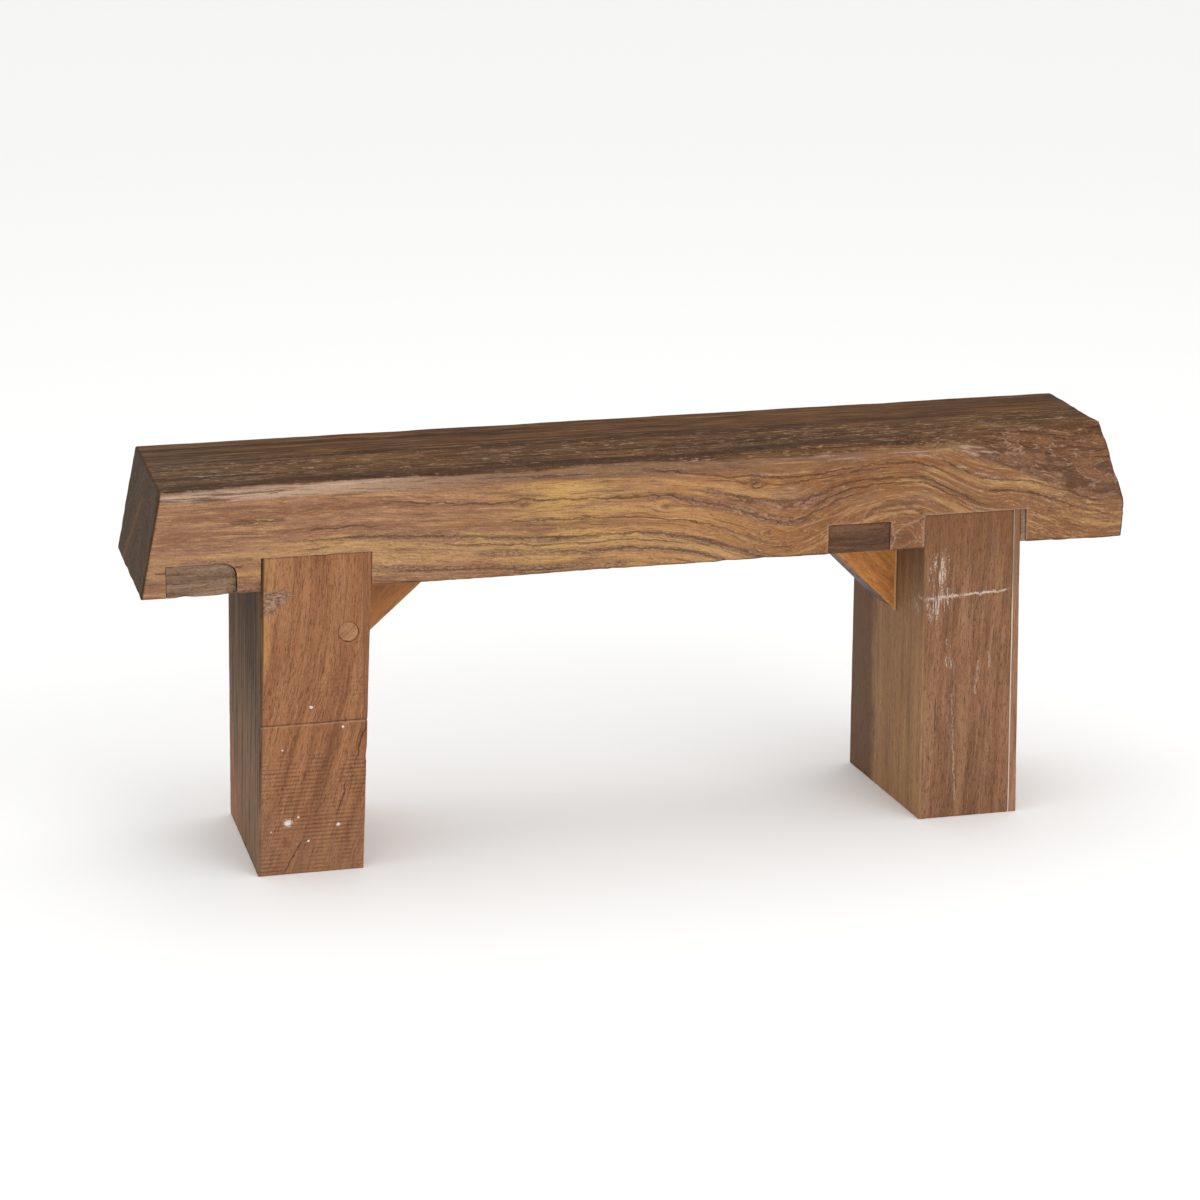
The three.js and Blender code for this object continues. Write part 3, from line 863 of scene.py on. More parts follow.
def beam_relief(points, normals):
    """How far the worn surface stands above or below the plain shape of the beam."""
    x, y, z = points.T
    grain = beam_grain(points)
    blur, streaky = beam_noises(points)
    zones, _ = beam_zones(points, blur, streaky)
    crust, residue, wear = beam_marks(points, grain, blur, streaky)
    on_top = ramp(normals[:, 2], 0.5, 0.9)
    on_end = ramp(np.abs(normals[:, 0]), 0.5, 0.9)
    wave = 0.9 * MM * layered_noise(points, (0.20, 0.05, 0.05), 41, 2)
    ridges = 0.40 * MM * layered_noise(grain, (0.06, 0.007, 0.007), 43)
    pits = -1.3 * MM * crust * (0.5 + 0.6 * layered_noise(points, (0.010, 0.010, 0.006), 47))
    flakes = 0.5 * MM * residue
    coarse = 0.35 * MM * wear[:, 0] * layered_noise(points, (0.012, 0.012, 0.007), 49)
    folds = layered_noise(points, (0.07, 0.035, 0.024), 53, 2)
    rough_wane = zones[:, 1] * (1.5 * folds - 0.9 * np.abs(folds) + 0.5 * ridges / MM) * MM
    end_saw = 0.5 * MM * on_end * layered_noise(points, (0.02, 0.02, 0.012), 59)
    height = wave * (1 - 0.7 * on_top) + ridges * (1 - on_end) + pits + flakes + coarse + rough_wane + end_saw
    for middle, start, end, width in GRAIN_LINES:
        groove = bell(grain[:, 1], middle, 0.0022) * within(grain[:, 0], start, end, 0.01)
        height -= groove * GROOVE_DEPTH * width * near_front(y, 0.004, 0.01)
    chipped = np.clip(layered_noise(points, (0.035, 0.02, 0.02), 61) - 0.35, 0, 1)
    edge = bell(z, SEAT_TOP - arris_drop(x), 0.006) * near_front(y, 0.01, 0.03)
    height -= chipped * edge * 5 * MM
    broken = within(x, *TORN_FOOT, 0.003) * within(z, 0.332, 0.3705, 0.003) * near_front(y, 0.004, 0.01)
    height -= broken * (2.4 + 2.0 * noise(points / np.array([0.02, 0.03, 0.0045]), 67)) * MM
    return height


def build_seat():
    lengths = np.array([BEAM_HIGH[0] - BEAM_LOW[0], BACK_Y - FRONT_Y, THICKNESS])
    pitches = (0.0029, 0.0037, 0.0028)
    lines = [grid_lines(length, pitch) for length, pitch in zip(lengths, pitches)]
    points, quads = box_surface(lines)
    wear = 0.003 + 0.0015 * noise(points * lengths / 0.05, 3)[:, None]
    points = beam_shape(round_edges(points, lengths, wear))
    seat = new_piece("seat_timber", points, quads)
    push(seat, beam_relief(points, normals_of(seat)))
    parts = [housing("left_leg", "left_leg"), housing("right_leg", "right_leg_shim")]
    parts += [patch_recess("beam_patch_left"), patch_recess("beam_patch_right")]
    cut(seat, parts + fixing_holes("_dowel_", "_beam_"))
    points = piece_points(seat)
    grain = beam_grain(points)
    blur, streaky = beam_noises(points)
    zones, band = beam_zones(points, blur, streaky)
    crust, residue, wear = beam_marks(points, grain, blur, streaky)
    marks = columns(crust, band, residue)
    set_attributes(seat, grain=grain, zone=zones, marks=marks, wear=wear)
    settle(seat, "seat_beam", seat_material())


# === Fixings: dowels, screws and the holes they stand in ===

SIDES = ("left", "right")
ROWS = ("front", "back")
DOWELS = [f"{side}_leg_dowel_{row}" for side in SIDES for row in ROWS]
SCREWS = [f"{side}_block_{into}_screw_{row}" for side in SIDES for into in ("beam", "leg") for row in ROWS]

SCREW_HEAD = 4.8 * MM
SCREW_SHANK = 2.5 * MM
SCREW_ROOT = 1.9 * MM
SCREW_HEAD_HEIGHT = 3.2 * MM
SCREW_RIM = 0.6 * MM
SCREW_TIP = 6 * MM
SCREW_THREAD_START = 26 * MM
SCREW_PITCH = 2.8 * MM
CROSS_HALF_WIDTH = 0.75 * MM
CROSS_REACH = 2.7 * MM
CROSS_RUNOUT = 3.4 * MM
CROSS_DEPTH = 2.1 * MM
COUNTERBORE = 6.5 * MM
DRIVER_ROOM = 50 * MM
HOLE_SIDES = 40
SCREW_SIDES = 32
DOWEL_SIDES = 96
DOWEL_CHAMFER = 1.5 * MM
FLUTE_COUNT = 16
FLUTE_DEPTH = 0.35 * MM


def dowel_hole(node):
    low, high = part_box(node)
    return bar(node, 2, (high[0] - low[0]) / 2 + GAP, low[2] - GAP, high[2] + GAP)


def fixing_holes(*parts_of_name):
    """The holes of the dowels and screws whose names hold one of these."""
    wanted = [node for node in DOWELS + SCREWS if any(part in node for part in parts_of_name)]
    return [dowel_hole(node) if node in DOWELS else screw_hole(node) for node in wanted]


def screw_run(node):
    """A screw's axis, which way it points along it, and the places of its head and its tip."""
    low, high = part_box(node)
    if "_beam_" in node:
        return 2, 1, low[2], high[2]
    if node.startswith("left"):
        return 0, -1, high[0], low[0]
    return 0, 1, low[0], high[0]


def screw_hole(node):
    axis, sense, head, tip = screw_run(node)
    return bar(node, axis, SCREW_SHANK + GAP, head, tip + sense * GAP)


def counterbored_hole(node):
    """The cutter of a screw's hole through a block, with room for its head and for a driver behind it."""
    axis, sense, head, tip = screw_run(node)
    shank, depth = SCREW_SHANK + GAP, abs(tip - head) + GAP
    rim, neck = SCREW_RIM + GAP, SCREW_HEAD_HEIGHT + GAP
    rings = [(0, -DRIVER_ROOM), (COUNTERBORE, -DRIVER_ROOM), (COUNTERBORE, rim), (SCREW_HEAD + GAP, rim)]
    rings += [(shank, neck), (shank, depth), (0, depth)]
    return turned(rings, HOLE_SIDES, on_axis(node, axis, head), axis, sense)


def thread(radius, angle, distance):
    """The radius of a screw's point: a helical thread between the plain shank and the tip."""
    if distance < SCREW_THREAD_START or radius < SCREW_SHANK:
        return np.full(len(angle), radius)
    turn = (distance / SCREW_PITCH + angle / (2 * math.pi)) % 1
    return SCREW_ROOT + (SCREW_SHANK - SCREW_ROOT) * np.clip(1 - np.abs(turn - 0.5) * 5, 0, 1)


def screw_material():
    shader = Shader("screw_steel_plated")
    tarnish = shader.noise(shader.place(), (420, 420, 420), 4.0, 0.6)
    grime = shader.noise(shader.place(), (1500, 1500, 1500), 2.0, 0.6)
    plating = shader.coats(
        colour(168, 160, 138),
        (tarnish, 0.35, 0.65, 1.0, (132, 120, 92)),
        (grime, 0.58, 0.70, 0.7, (70, 58, 44)),
    )
    shader.set(metallic=shader.between(grime, 0.58, 0.70, 0.95, 0.3))
    return shader.finish(plating, shader.between(tarnish, 0.3, 0.7, 0.28, 0.5), 0.5, grime, 0.00008, 0.6)


def build_screw(node, material):
    axis, sense, head, tip = screw_run(node)
    centre = on_axis(node, axis, head)
    length = abs(tip - head)
    rings = [(0, 0)] + [(SCREW_HEAD * share, 0) for share in np.linspace(0.08, 0.94, 13)]
    rings += [(SCREW_HEAD, 0.12 * MM), (SCREW_HEAD, SCREW_RIM), (SCREW_SHANK, SCREW_HEAD_HEIGHT)]
    threads = np.arange(SCREW_HEAD_HEIGHT + 2 * MM, length - SCREW_TIP, SCREW_PITCH / 7)
    rings += [(SCREW_SHANK, distance) for distance in threads]
    rings += [(SCREW_ROOT * 0.5, length - SCREW_TIP * 0.4), (0, length)]
    points, faces = turned(rings, SCREW_SIDES, centre, axis, sense, thread)
    screw = new_piece(node + "_threaded", points, faces)

    # The cross in the head, deepest in the middle
    away = (points - centre) * sense
    across = np.sort(np.abs(np.delete(away, axis, axis=1)), axis=1)
    in_cross = (across[:, 0] < CROSS_HALF_WIDTH) & (across[:, 1] < CROSS_REACH) & (away[:, axis] < 0.05 * MM)
    inward = np.zeros_like(points)
    inward[:, axis] = sense * CROSS_DEPTH * in_cross * (1 - across[:, 1] / CROSS_RUNOUT)
    push(screw, inward)
    settle(screw, node, material, 35)


def flute(radius, angle, distance):
    """The radius of a dowel's point, with shallow glue grooves along it."""
    return radius - FLUTE_DEPTH * np.clip(np.cos(angle * FLUTE_COUNT), 0, 1) ** 3


def build_dowel(node, material):
    low, high = node_box(node)
    radius, length = (high[0] - low[0]) / 2, high[2] - low[2]
    chamfer = DOWEL_CHAMFER
    rings = [(0, 0), (radius * 0.5, 0), (radius - chamfer, 0), (radius, chamfer)]
    rings += [(radius, distance) for distance in np.linspace(0.05, 0.95, 18) * length]
    rings += [(radius, length - chamfer), (radius - chamfer, length), (radius * 0.5, length), (0, length)]
    points, faces = turned(rings, DOWEL_SIDES, on_axis(node, 2, low[2]), 2, 1, flute)
    dowel = new_piece(node + "_fluted", points, faces)
    set_attributes(dowel, grain=points[:, [2, 0, 1]])
    settle(dowel, node, material, 35)


def build_fixings():
    dowel_wood = plain_timber("dowel_beech", (206, 166, 116), (226, 190, 142), (168, 122, 78), 0.6)
    for node in DOWELS:
        build_dowel(node, dowel_wood)
    steel = screw_material()
    for node in SCREWS:
        build_screw(node, steel)


# === Blocks of timber ===


def post_grain(points, lean, seed):
    """Place in an upright timber: up along the grain, and twice across it, with the grain leaning over."""
    x, y, z = points.T
    leaning = lean * 0.5 * (z + 0.09 * np.sin((z - 0.08) * 9))
    wander = 0.004 * layered_noise(points, (0.08, 0.08, 0.22), seed, 2)
    return columns(z, x - leaning + wander, y + wander)


def dense_block(name, corners, pitches, wear, seed):
    """A block with worn edges between eight corners, as a dense closed mesh."""
    lengths = np.array([np.linalg.norm(np.diff(corners, axis=axis), axis=-1).max() for axis in range(3)])
    edges = [min(0.003, length / 8) for length in lengths]
    lines = [grid_lines(length, pitch, edge) for length, pitch, edge in zip(lengths, pitches, edges)]
    points, quads = box_surface(lines)
    uneven = wear * (1 + 0.6 * noise(points * lengths / 0.03 + seed, seed)[:, None])
    return new_piece(name, in_block(corners, round_edges(points, lengths, uneven)), quads)


def plain_timber(name, base, light, dark, roughness, along=16.0, across=330.0):
    """A timber with bands, streaks, fibres and pores, and no marks of its own."""
    shader = Shader(name)
    wood, streaks, fine, pores = timber(shader, base, light, dark, along, across)
    height = shader.weighted((streaks, 0.5), (fine, 0.4), (pores, -0.5))
    gloss = shader.between(streaks, 0.3, 0.7, roughness - 0.06, roughness + 0.08)
    return shader.finish(wood, gloss, 0.16, height, 0.0006, 0.8)


PATCH_RADIUS = {"beam_patch_left": 15 * MM, "beam_patch_right": 1.5 * MM}


def patch_recess(node):
    low, high = node_box(node)
    heights = np.concatenate([[0.0], np.linspace(0.5, 1.0, 24)])
    points, quads = box_surface([ENDS, ENDS, heights])
    low -= np.array([GAP, OVERRUN, OVERRUN])
    return patch_block(points, low, high + GAP, PATCH_RADIUS[node] + GAP), quads


def build_patches():
    grey = plain_timber("patch_wood_grey", (132, 105, 84), (156, 130, 110), (88, 66, 50), 0.75)
    brown = plain_timber("patch_wood_dark", (96, 67, 49), (124, 92, 70), (68, 46, 34), 0.78)
    for node, material in (("beam_patch_left", grey), ("beam_patch_right", brown)):
        low, high = node_box(node)
        points, quads = box_surface([grid_lines(length, 0.0018, 0.0022) for length in high - low])
        points = patch_block(round_edges(points, high - low, 0.9 * MM), low, high, PATCH_RADIUS[node])
        patch = new_piece(node + "_worn", points, quads)
        relief = 0.30 * MM * layered_noise(points, (0.030, 0.01, 0.004), 71)
        if node == "beam_patch_left":
            x, y, z = points.T
            hollow = ramp(x, high[0] - 0.022, high[0]) * (1 - ramp(y, low[1], low[1] + 0.01))
            chip = bell(x, low[0] + 0.020, 0.006) * (1 - ramp(z, low[2], low[2] + 0.010))
            relief -= (2.6 * hollow + 1.6 * chip) * MM
        push(patch, relief - 0.25 * MM)
        points = piece_points(patch)
        set_attributes(patch, grain=points + 0.002 * noise(points / 0.05, 73)[:, None])
        settle(patch, node, material)


# === Legs ===

SAW_PITCH = 0.0048
KERF_HEIGHT = 0.1757
LEFT_LEAN = 0.34
RIGHT_LEAN = 0.06
LEFT_SEED = 5
RIGHT_SEED = 7


def left_leg_masks(points):
    """Where the left leg is saw-marked, broken, yellow with sap, and on its outer side, which is darker wood
    with painted shade from the seat at its top.
    """
    x, y, z = points.T
    front = near_front(y, 0.003, 0.008)
    blur = layered_noise(points, (0.02, 0.02, 0.02), 83)
    sawn = 1 - ramp(z + 0.012 * blur, 0.125, 0.155)
    sawn += 0.35 * within(z, 0.20, 0.236, 0.01) * ramp(x, -0.39, -0.37)
    ragged = blur + 0.5 * layered_noise(points, (0.006, 0.006, 0.006), 85)
    broken = within(x + 0.004 * ragged, -0.455, lerp(-0.424, -0.402, ramp(z, 0.306, 0.328)), 0.003)
    broken *= within(z + 0.004 * ragged, 0.304, 0.331, 0.003)
    sap_edge = -0.430 + 0.010 * ramp(z, 0.25, 0.36) - 0.016 * (1 - ramp(z, 0.20, 0.26)) + 0.003 * blur
    sap = (1 - ramp(x, sap_edge - 0.003, sap_edge + 0.003)) * ramp(z, 0.19, 0.23)
    outer = 1 - ramp(x - 0.011 * z / LEG_TOP, -0.4460, -0.4440)
    return columns(sawn * front, broken * front, sap * front), outer


def left_leg_relief(points):
    x, y, z = points.T
    marks, _ = left_leg_masks(points)
    grain = post_grain(points, LEFT_LEAN, LEFT_SEED)
    front = near_front(y, 0.003, 0.008)
    ridges = 0.22 * MM * layered_noise(grain, (0.06, 0.006, 0.006), 87) * ramp(z, 0.0, 0.002)
    sweep = 0.0012 * np.sin((x + 0.38) * 16)
    teeth = np.abs(((z + sweep) / SAW_PITCH) % 1 - 0.5) * 2
    saw = -0.34 * MM * marks[:, 0] * teeth**2 * (0.7 + 0.5 * noise(points / 0.02, 89))
    broken = -marks[:, 1] * (1.6 + 1.3 * layered_noise(points, (0.007, 0.01, 0.004), 91)) * MM
    kerf = -0.9 * MM * front * bell(z, KERF_HEIGHT + 0.0008 * noise(points / 0.02, 88), 0.0010)
    chips = np.clip(layered_noise(points, (0.018, 0.018, 0.03), 93) - 0.45, 0, 1) * 2.0 * MM
    near_edge = np.maximum(bell(x, LEG_LOW[0] + 0.002, 0.005), bell(x, LEG_HIGH[0] - 0.008, 0.006)) * front
    return ridges + saw + broken + kerf - chips * near_edge


def right_leg_relief(points):
    grain = post_grain(points, RIGHT_LEAN, RIGHT_SEED)
    ridges = 0.20 * MM * layered_noise(grain, (0.05, 0.005, 0.005), 97)
    dents = -np.clip(layered_noise(points, (0.03, 0.03, 0.05), 99) - 0.6, 0, 1) * 0.9 * MM
    return ridges + dents - 0.15 * MM


# Marks on the front of a leg: the two ends (x, z) of each and its half width
LEFT_CRACKS = [
    ((-0.322, 0.180), (-0.335, 0.125), 0.0012),
    ((-0.344, 0.106), (-0.359, 0.066), 0.0012),
    ((-0.399, 0.038), (-0.418, 0.002), 0.0012),
]
LEFT_KNOT = [((-0.416, 0.038), (-0.416, 0.038), 0.008)]
CHALK_LINE = [((0.333, 0.2690), (0.385, 0.2710), 0.0024), ((0.385, 0.2710), (0.448, 0.2745), 0.0016)]
CHALK_DUST = [((0.344, 0.256), (0.356, 0.270), 0.012), ((0.351, 0.292), (0.353, 0.312), 0.010)]
CHALK_STREAK = [((0.367, 0.188), (0.367, 0.217), 0.0042)]
SCRATCHES = [
    ((0.403, 0.190), (0.400, 0.150), 0.0013),
    ((0.371, 0.152), (0.379, 0.020), 0.0009),
    ((0.416, 0.200), (0.417, 0.182), 0.0016),
]
RIGHT_CRACKS = [
    ((0.420, 0.086), (0.421, 0.062), 0.0009),
    ((0.350, 0.150), (0.352, 0.085), 0.0009),
    ((0.384, 0.345), (0.385, 0.290), 0.0009),
    ((0.395, 0.250), (0.396, 0.200), 0.0009),
]

# Chips of white paint on the left leg: x, z and radius
PAINT_CHIPS = [
    (-0.413, 0.061, 0.0052),
    (-0.356, 0.055, 0.0026),
    (-0.390, 0.038, 0.0017),
    (-0.384, 0.195, 0.0022),
    (-0.418, 0.147, 0.0014),
    (-0.349, 0.170, 0.0018),
    (-0.432, 0.052, 0.0012),
    (-0.401, 0.067, 0.0014),
]


def left_leg_material():
    shader = Shader("left_leg_wood_sawn")
    _, y, z = shader.split(shader.place())
    sawn, broken, sap = shader.split(shader.attribute("marks"))
    outer = shader.attribute("outer", "Fac")
    speck = shader.noise(shader.place(), (640, 640, 640), 2.0, 0.7)
    patchy = shader.noise(shader.place(), (30, 30, 22), 3.0, 0.6)
    wood, streaks, fine, pores = timber(shader, (150, 101, 69), (170, 121, 86), (112, 72, 48), 13.0, 300.0)
    broad = shader.noise(shader.attribute("grain"), (5, 95, 95), 3.0, 0.6)

    # Saw marks across the grain with their dust and shadow, a sap strip and a torn corner
    rows = shader.math("FRACT", shader.product(z, 1 / SAW_PITCH))
    row = shader.off(rows, 0.5)
    shadow = shader.product(shader.between(row, 0.32, 0.5), sawn, shader.between(patchy, 0.35, 0.6))
    dust = shader.product(shader.between(row, 0.22, 0.0), sawn, shader.between(speck, 0.45, 0.65))
    sappy = shader.product(sap, shader.between(streaks, 0.38, 0.55, 0.3, 0.8))
    wood = shader.coats(
        wood,
        (z, 0.12, 0.0, 0.45, (150, 112, 86)),
        (patchy, 0.50, 0.75, 0.45, (130, 82, 56)),
        (broad, 0.55, 0.65, 0.45, (166, 118, 78)),
        (broad, 0.46, 0.36, 0.45, (122, 80, 56)),
        (shadow, 0.55, (104, 68, 52)),
        (dust, 0.4, (182, 140, 112)),
        (sappy, 1.0, (180, 132, 84)),
    )
    ridges = shader.noise(shader.place(), (130, 130, 420), 3.0, 0.75)
    torn = shader.coats(colour(112, 80, 62), (ridges, 0.40, 0.60, 1.0, (172, 146, 128)))
    wood = shader.mix(shader.product(broken, 0.75), wood, torn)

    # The outer side: darker, and darkest at the top with painted shade from the seat above, with a long crack
    # near the front
    side = shader.coats(
        colour(132, 102, 78),
        # painted shade from the seat: darker towards the top of the outer side
        (z, 0.05, 0.30, 1.0, (72, 49, 28)),
        (broad, 0.52, 0.62, 0.6, (122, 92, 56)),
        (broad, 0.48, 0.40, 0.7, (56, 38, 24)),
        (streaks, 0.46, 0.34, 0.4, (62, 43, 31)),
        (streaks, 0.55, 0.66, 0.35, (142, 111, 84)),
    )
    wandering = shader.total(y, shader.swing(patchy, 0.012))
    split = shader.line(wandering, z, FRONT_Y + 0.012, 0.0016, 0.175, 0.345)
    wood = shader.coats(shader.mix(outer, wood, side), (shader.product(split, outer), 1.0, (40, 28, 22)))

    # The edges of the kerf, then cracks, a knot and chips of white paint on the front
    ragged = shader.swing(speck, 2.4)
    shader.bend(0.0012, 60.0)
    for lift, shade in ((0.0009, (74, 48, 34)), (-0.0012, (172, 132, 102))):
        kerf_edge = ((-0.441, KERF_HEIGHT + lift), (-0.320, KERF_HEIGHT + lift), 0.0010)
        wood = shader.strokes(wood, 0.6, shade, ragged, [kerf_edge])
    shader.bend(0.010, 45.0)
    wood = shader.strokes(wood, 0.75, (68, 42, 30), ragged, LEFT_CRACKS, True)
    wood = shader.strokes(wood, 0.45, (92, 58, 42), ragged, LEFT_KNOT)
    shader.bend(0.002, 200.0)
    chips = [((x, height), (x, height), radius) for x, height, radius in PAINT_CHIPS]
    wood = shader.strokes(wood, 0.95, (236, 228, 218), ragged, chips)

    crumbly = shader.total(0.12, shader.product(broken, 1.2))
    height = shader.weighted((streaks, 0.6), (fine, 0.4), (pores, -0.5), (shadow, -0.8), (speck, crumbly))
    return shader.finish(wood, shader.between(streaks, 0.3, 0.7, 0.66, 0.82), 0.14, height, 0.0009)


def right_leg_material():
    shader = Shader("right_leg_wood_planed")
    _, y, z = shader.split(shader.place())
    speck = shader.noise(shader.place(), (640, 640, 640), 2.0, 0.7)
    patchy = shader.noise(shader.place(), (30, 30, 16), 3.0, 0.6)
    wood, streaks, fine, pores = timber(shader, (139, 98, 71), (158, 119, 91), (106, 73, 52), 12.0, 290.0)
    broad = shader.noise(shader.attribute("grain"), (5, 95, 95), 3.0, 0.6)
    wood = shader.coats(
        wood,
        (z, 0.26, 0.36, 0.6, (120, 80, 50)),
        (patchy, 0.55, 0.75, 0.5, (122, 86, 68)),
        (broad, 0.55, 0.65, 0.45, (156, 116, 82)),
        (broad, 0.46, 0.36, 0.5, (112, 76, 54)),
    )

    # The inner side: olive brown, with a dark band down the back half, and painted shadow from the seat
    # darkening its top
    side = shader.coats(
        colour(154, 115, 79),
        (broad, 0.54, 0.66, 0.6, (174, 134, 92)),
        (broad, 0.46, 0.36, 0.6, (126, 94, 66)),
        (streaks, 0.46, 0.36, 0.35, (118, 86, 60)),
        (streaks, 0.54, 0.64, 0.35, (172, 136, 100)),
        (shader.total(y, shader.product(patchy, 0.03)), 0.045, 0.065, 0.75, (92, 66, 50)),
        # painted shadow from the seat: darker towards the top of the inner side
        (z, 0.22, 0.33, 0.5, (88, 64, 43)),
    )
    wood = shader.mix(shader.attribute("inner", "Fac"), wood, side)

    # Chalk: a broken line across the front, drips, a scuffed patch, a streak and scratches, then cracks
    ragged = shader.swing(speck, 5.0)
    drip = shader.noise(shader.place(), (420, 60, 28), 3.0, 0.65)
    scuffed = shader.noise(shader.place(), (95, 60, 200), 3.0, 0.7)
    dust = shader.between(drip, 0.50, 0.60)
    shader.bend(0.006, 90.0)
    for strength, marks in (
        (shader.between(scuffed, 0.42, 0.52, 0.12, 0.8), CHALK_LINE),
        (shader.product(dust, 0.7), CHALK_DUST),
        (shader.product(dust, 0.9), CHALK_STREAK),
    ):
        wood = shader.strokes(wood, strength, (214, 198, 184), ragged, marks)
    wood = shader.strokes(wood, 0.42, (198, 176, 160), ragged, SCRATCHES)
    shader.bend(0.008, 45.0)
    wood = shader.strokes(wood, 0.65, (76, 52, 40), ragged, RIGHT_CRACKS, True)
    height = shader.weighted((streaks, 0.55), (fine, 0.4), (pores, -0.6), (speck, 0.1))
    return shader.finish(wood, shader.between(streaks, 0.3, 0.7, 0.60, 0.76), 0.14, height, 0.0008)


def build_left_leg():
    left = dense_block("left_leg_sawn", node_corners("left_leg"), (0.0026, 0.0042, 0.0017), 1.3 * MM, 3)
    push(left, left_leg_relief(piece_points(left)))
    low, high = node_box("left_leg_plug")
    plug_hole = bar("left_leg_plug", 1, (high[0] - low[0]) / 2 + GAP, low[1] - OVERRUN, high[1] + GAP)
    cut(left, fixing_holes("left_leg_dowel", "left_block") + [plug_hole])
    points = piece_points(left)
    marks, outer = left_leg_masks(points)
    inner = ramp(points[:, 0], LEG_HIGH[0] - 0.012, LEG_HIGH[0] - 0.006)
    straight = np.clip(outer + inner, 0, 1)[:, None]
    grain = lerp(post_grain(points, LEFT_LEAN, LEFT_SEED), post_grain(points, 0.0, LEFT_SEED), straight)
    set_attributes(left, grain=grain, marks=marks, outer=outer)
    settle(left, "left_leg", left_leg_material())


def build_right_leg():
    corners = node_corners("right_leg")
    right = dense_block("right_leg_planed", corners, (0.0026, 0.0042, 0.0024), 0.9 * MM, 5)
    push(right, right_leg_relief(piece_points(right)))
    cut(right, fixing_holes("right_leg_dowel", "right_block"))
    points = piece_points(right)
    upward = points[:, 2] / LEG_TOP
    backward = (points[:, 1] - FRONT_Y) / (BACK_Y - FRONT_Y)
    front_x, back_x = (lerp(corners[0, side, 0, 0], corners[0, side, 1, 0], upward) for side in (0, 1))
    inner = 1 - ramp(points[:, 0] - lerp(front_x, back_x, backward), 0.001, 0.003)
    set_attributes(right, grain=post_grain(points, RIGHT_LEAN, RIGHT_SEED), inner=inner)
    settle(right, "right_leg", right_leg_material())


# === Edge board, packing strip and plug ===

PLUG_SIDES = 72


def board_material():
    """The pale board on the right leg, with dried glue along its seam."""
    shader = Shader("edge_board_wood")
    _, _, z = shader.split(shader.place())
    wood, streaks, fine, _ = timber(shader, (148, 109, 84), (170, 132, 106), (112, 78, 58), 14.0, 330.0)
    lumps = shader.noise(shader.place(), (300, 300, 60), 3.0, 0.6)
    glue = shader.total(shader.attribute("seam", "Fac"), shader.product(lumps, 1.1))
    glue = shader.between(glue, 1.05, 1.28)
    low_glue = shader.product(glue, shader.between(z, 0.30, 0.24, 0.35, 1.0))
    wood = shader.coats(wood, (z, 0.24, 0.34, 0.7, (122, 88, 62)), (low_glue, 0.85, (222, 204, 188)))
    height = shader.weighted((streaks, 0.5), (fine, 0.4), (glue, 0.8))
    return shader.finish(wood, shader.between(streaks, 0.3, 0.7, 0.60, 0.76), 0.14, height, 0.0007)


def build_edge_board():
    corners = node_corners("right_leg_edge_board")
    board = dense_block("edge_board_planed", corners, (0.0015, 0.004, 0.0024), 0.7 * MM, 9)
    push(board, 0.15 * MM * layered_noise(piece_points(board), (0.006, 0.006, 0.05), 101) - 0.1 * MM)
    points = piece_points(board)
    seam_x = lerp(corners[0, 0, 0, 0], corners[0, 0, 1, 0], points[:, 2] / LEG_TOP)
    seam = 1 - ramp(points[:, 0] - seam_x, 0.0006, 0.0024)
    set_attributes(board, grain=post_grain(points, 0.0, 9), seam=seam)
    settle(board, "right_leg_edge_board", board_material())


def build_packing_strip():
    shim = dense_block("packing_strip", node_corners("right_leg_shim"), (0.0011, 0.004, 0.0016), 0.5 * MM, 11)
    push(shim, 0.2 * MM * layered_noise(piece_points(shim), (0.004, 0.02, 0.004), 103) - 0.15 * MM)
    set_attributes(shim, grain=piece_points(shim)[:, [1, 0, 2]])
    grey = plain_timber("packing_strip_wood", (140, 112, 90), (166, 140, 118), (96, 72, 56), 0.78)
    settle(shim, "right_leg_shim", grey)


def whittled(radius, angle, distance):
    """The radius of the plug's point: an uneven round with four flats."""
    return radius * (1 - 0.035 * np.clip(np.cos(angle * 4 + 0.6), 0, 1) - 0.012 * np.sin(angle * 3))


def build_plug():
    low, high = node_box("left_leg_plug")
    radius, depth = (high[0] - low[0]) / 2, high[1] - low[1]
    rings = [(0, 0)] + [(radius * share, 0) for share in np.linspace(0.08, 0.90, 12)]
    rings += [(radius * 0.955, 0.15 * MM), (radius, 0.8 * MM)]
    rings += [(radius, depth * share) for share in (0.1, 0.3, 0.6, 0.9)] + [(radius * 0.9, depth), (0, depth)]
    points, faces = turned(rings, PLUG_SIDES, on_axis("left_leg_plug", 1, low[1]), 1, 1, whittled)
    plug = new_piece("plug_whittled", points, faces)
    x, y, z = points.T
    slant = columns(x + z * 0.8, z - x * 0.8, y)
    dish = np.zeros_like(points)
    dish[:, 1] = 0.25 * MM + 0.18 * MM * layered_noise(slant, (0.02, 0.003, 0.003), 107)
    dish[:, 1] *= 1 - ramp(y, low[1], low[1] + 0.001)
    push(plug, dish)
    set_attributes(plug, grain=slant)
    shades = (168, 120, 88), (190, 146, 108), (122, 82, 56)
    settle(plug, "left_leg_plug", plain_timber("plug_wood_end", *shades, 0.66, 40.0, 420.0))


# === Corner blocks ===

BLOCK_BLUNT = 1.4 * MM


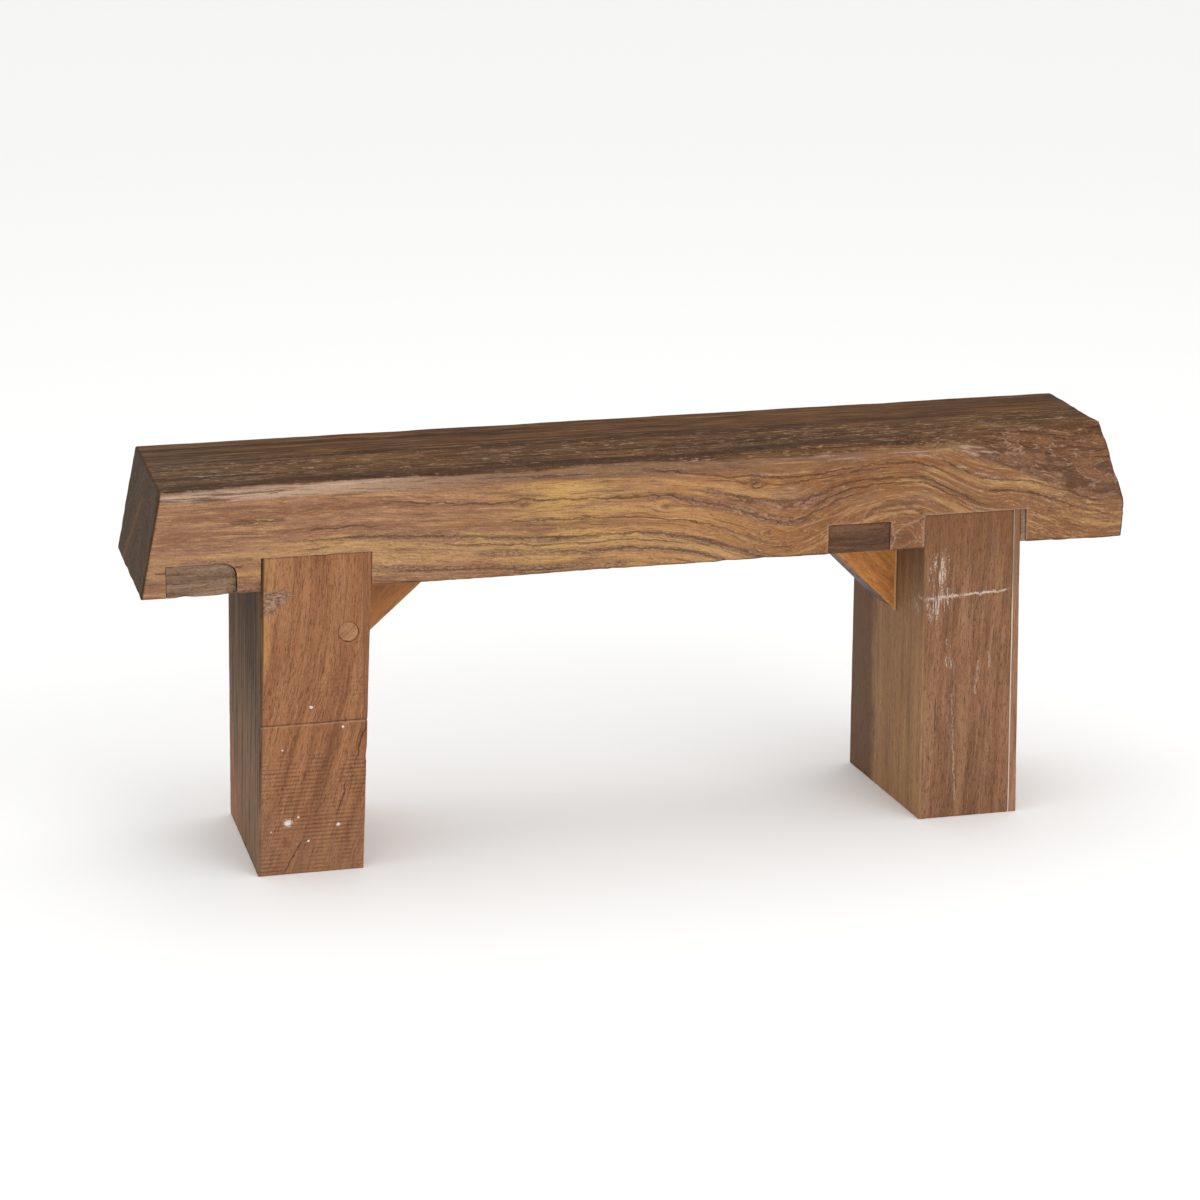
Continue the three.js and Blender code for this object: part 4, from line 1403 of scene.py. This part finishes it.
def block_material():
    """Honey wood with glue beside the leg, darkened by painted shadow up under the seat and by painted shade
    on the downward slope.
    """
    shader = Shader("corner_block_wood")
    wood, streaks, fine, _ = timber(shader, (214, 142, 72), (232, 168, 96), (156, 94, 46), 15.0, 240.0)
    cloudy = shader.noise(shader.place(), (55, 55, 55), 3.0, 0.6)
    x, _, z = shader.split(shader.place())
    _, _, facing = shader.split(shader.add("ShaderNodeNewGeometry").outputs["Normal"])
    glue = shader.total(shader.attribute("seam", "Fac"), shader.product(cloudy, 0.8))
    glue = shader.between(glue, 0.95, 1.15)
    wood = shader.coats(
        wood,
        (cloudy, 0.50, 0.68, 0.6, (158, 98, 50)),
        (x, 0.0, -0.1, 0.45, (140, 90, 52)),
        # painted shadow: dark at the top of the block, just under the seat
        (shader.total(z, shader.product(cloudy, 0.014)), 0.318, 0.334, 0.75, (84, 54, 32)),
        # painted shade: dark on faces that point downward, such as the slope under the block
        (facing, -0.2, -0.5, 0.95, (58, 36, 22)),
        (glue, 0.6, (214, 178, 128)),
    )
    height = shader.weighted((streaks, 0.5), (fine, 0.4), (glue, 0.6))
    return shader.finish(wood, shader.between(streaks, 0.3, 0.7, 0.46, 0.62), 0.35, height, 0.0006, 0.8)


def build_corner_blocks():
    material = block_material()
    for side in SIDES:
        node = f"{side}_corner_block"
        corners = node_corners(node)
        tip, leg, across_slope = (1, 0, 1) if side == "left" else (0, 1, -1)
        corners[tip, :, 0] = corners[tip, :, 1] - np.array([0, 0, BLOCK_BLUNT])
        block = dense_block(node + "_sawn", corners, (0.0028, 0.0032, 0.0028), 0.8 * MM, 13)
        uneven = [layered_noise(piece_points(block), (0.03, 0.03, 0.03), seed) for seed in (109, 110, 111)]
        push(block, 0.18 * MM * columns(*uneven))
        cut(block, [counterbored_hole(name) for name in SCREWS if name.startswith(side)])
        points = piece_points(block)
        x, y, z = points.T
        grain = columns(x * 0.7 + across_slope * z * 0.7, z * 0.7 - across_slope * x * 0.7, y)
        grain += 0.003 * noise(points / 0.03, 113)[:, None]
        seam = 1 - ramp(np.abs(x - corners[leg, 0, 0, 0]), 0.0015, 0.005)
        set_attributes(block, grain=grain, seam=seam)
        settle(block, node, material, 35)


# === Studio ===

CAMERA_AZIMUTH = math.radians(15.103)
CAMERA_ELEVATION = math.radians(16.35)
CAMERA_ROLL = math.radians(0.356)
CAMERA_LENS = 109.67
CAMERA_SENSOR = 36.0
CAMERA_PLACE = (-1.0808, -3.9141, 1.4524)
LIGHT_AIM = (0.0, 0.0, 0.3)
FLOOR_SIZE = 50.0


def aimed(name, data, place, direction, roll=0.0):
    """A camera or a light at a place, looking in a direction."""
    made = bpy.data.objects.new(name, data)
    bpy.context.scene.collection.objects.link(made)
    made.location = place
    made.rotation_mode = "QUATERNION"
    made.rotation_quaternion = direction.to_track_quat("-Z", "Y") @ Quaternion((0, 0, 1), roll)
    return made


def build_camera():
    data = bpy.data.cameras.new("camera")
    data.lens = CAMERA_LENS
    data.sensor_width = CAMERA_SENSOR
    level = math.cos(CAMERA_ELEVATION)
    right, back = math.sin(CAMERA_AZIMUTH) * level, math.cos(CAMERA_AZIMUTH) * level
    forward = Vector((right, back, -math.sin(CAMERA_ELEVATION)))
    bpy.context.scene.camera = aimed("camera", data, CAMERA_PLACE, forward, CAMERA_ROLL)


def build_floor():
    half = FLOOR_SIZE / 2
    corners = [(-half, -half, 0), (half, -half, 0), (half, half, 0), (-half, half, 0)]
    floor = new_piece("floor", corners, [(0, 1, 2, 3)])
    shader = Shader("pale_floor")
    shader.set(base_color=colour(250, 250, 249), roughness=0.9)
    floor.data.materials.append(shader.material)


def build_light(name, place, size, power):
    data = bpy.data.lights.new(name, "AREA")
    data.shape = "RECTANGLE"
    data.size, data.size_y = size
    data.energy = power
    aimed(name, data, place, Vector(LIGHT_AIM) - Vector(place))


def build_studio():
    world = bpy.data.worlds.new("studio")
    bpy.context.scene.world = world
    world.use_nodes = True
    background = world.node_tree.nodes["Background"]
    background.inputs["Color"].default_value = (1.0, 1.0, 1.0, 1.0)
    background.inputs["Strength"].default_value = 0.95
    build_light("key_softbox", (1.6, -3.2, 2.6), (2.4, 1.8), 34)
    build_light("top_softbox", (-0.3, 0.2, 3.2), (3.0, 2.2), 14)
    scene = bpy.context.scene
    scene.view_settings.view_transform = "Standard"
    scene.view_settings.look = "None"


build_camera()
build_seat()
build_patches()
build_left_leg()
build_right_leg()
build_edge_board()
build_packing_strip()
build_plug()
build_corner_blocks()
build_fixings()
build_floor()
build_studio()
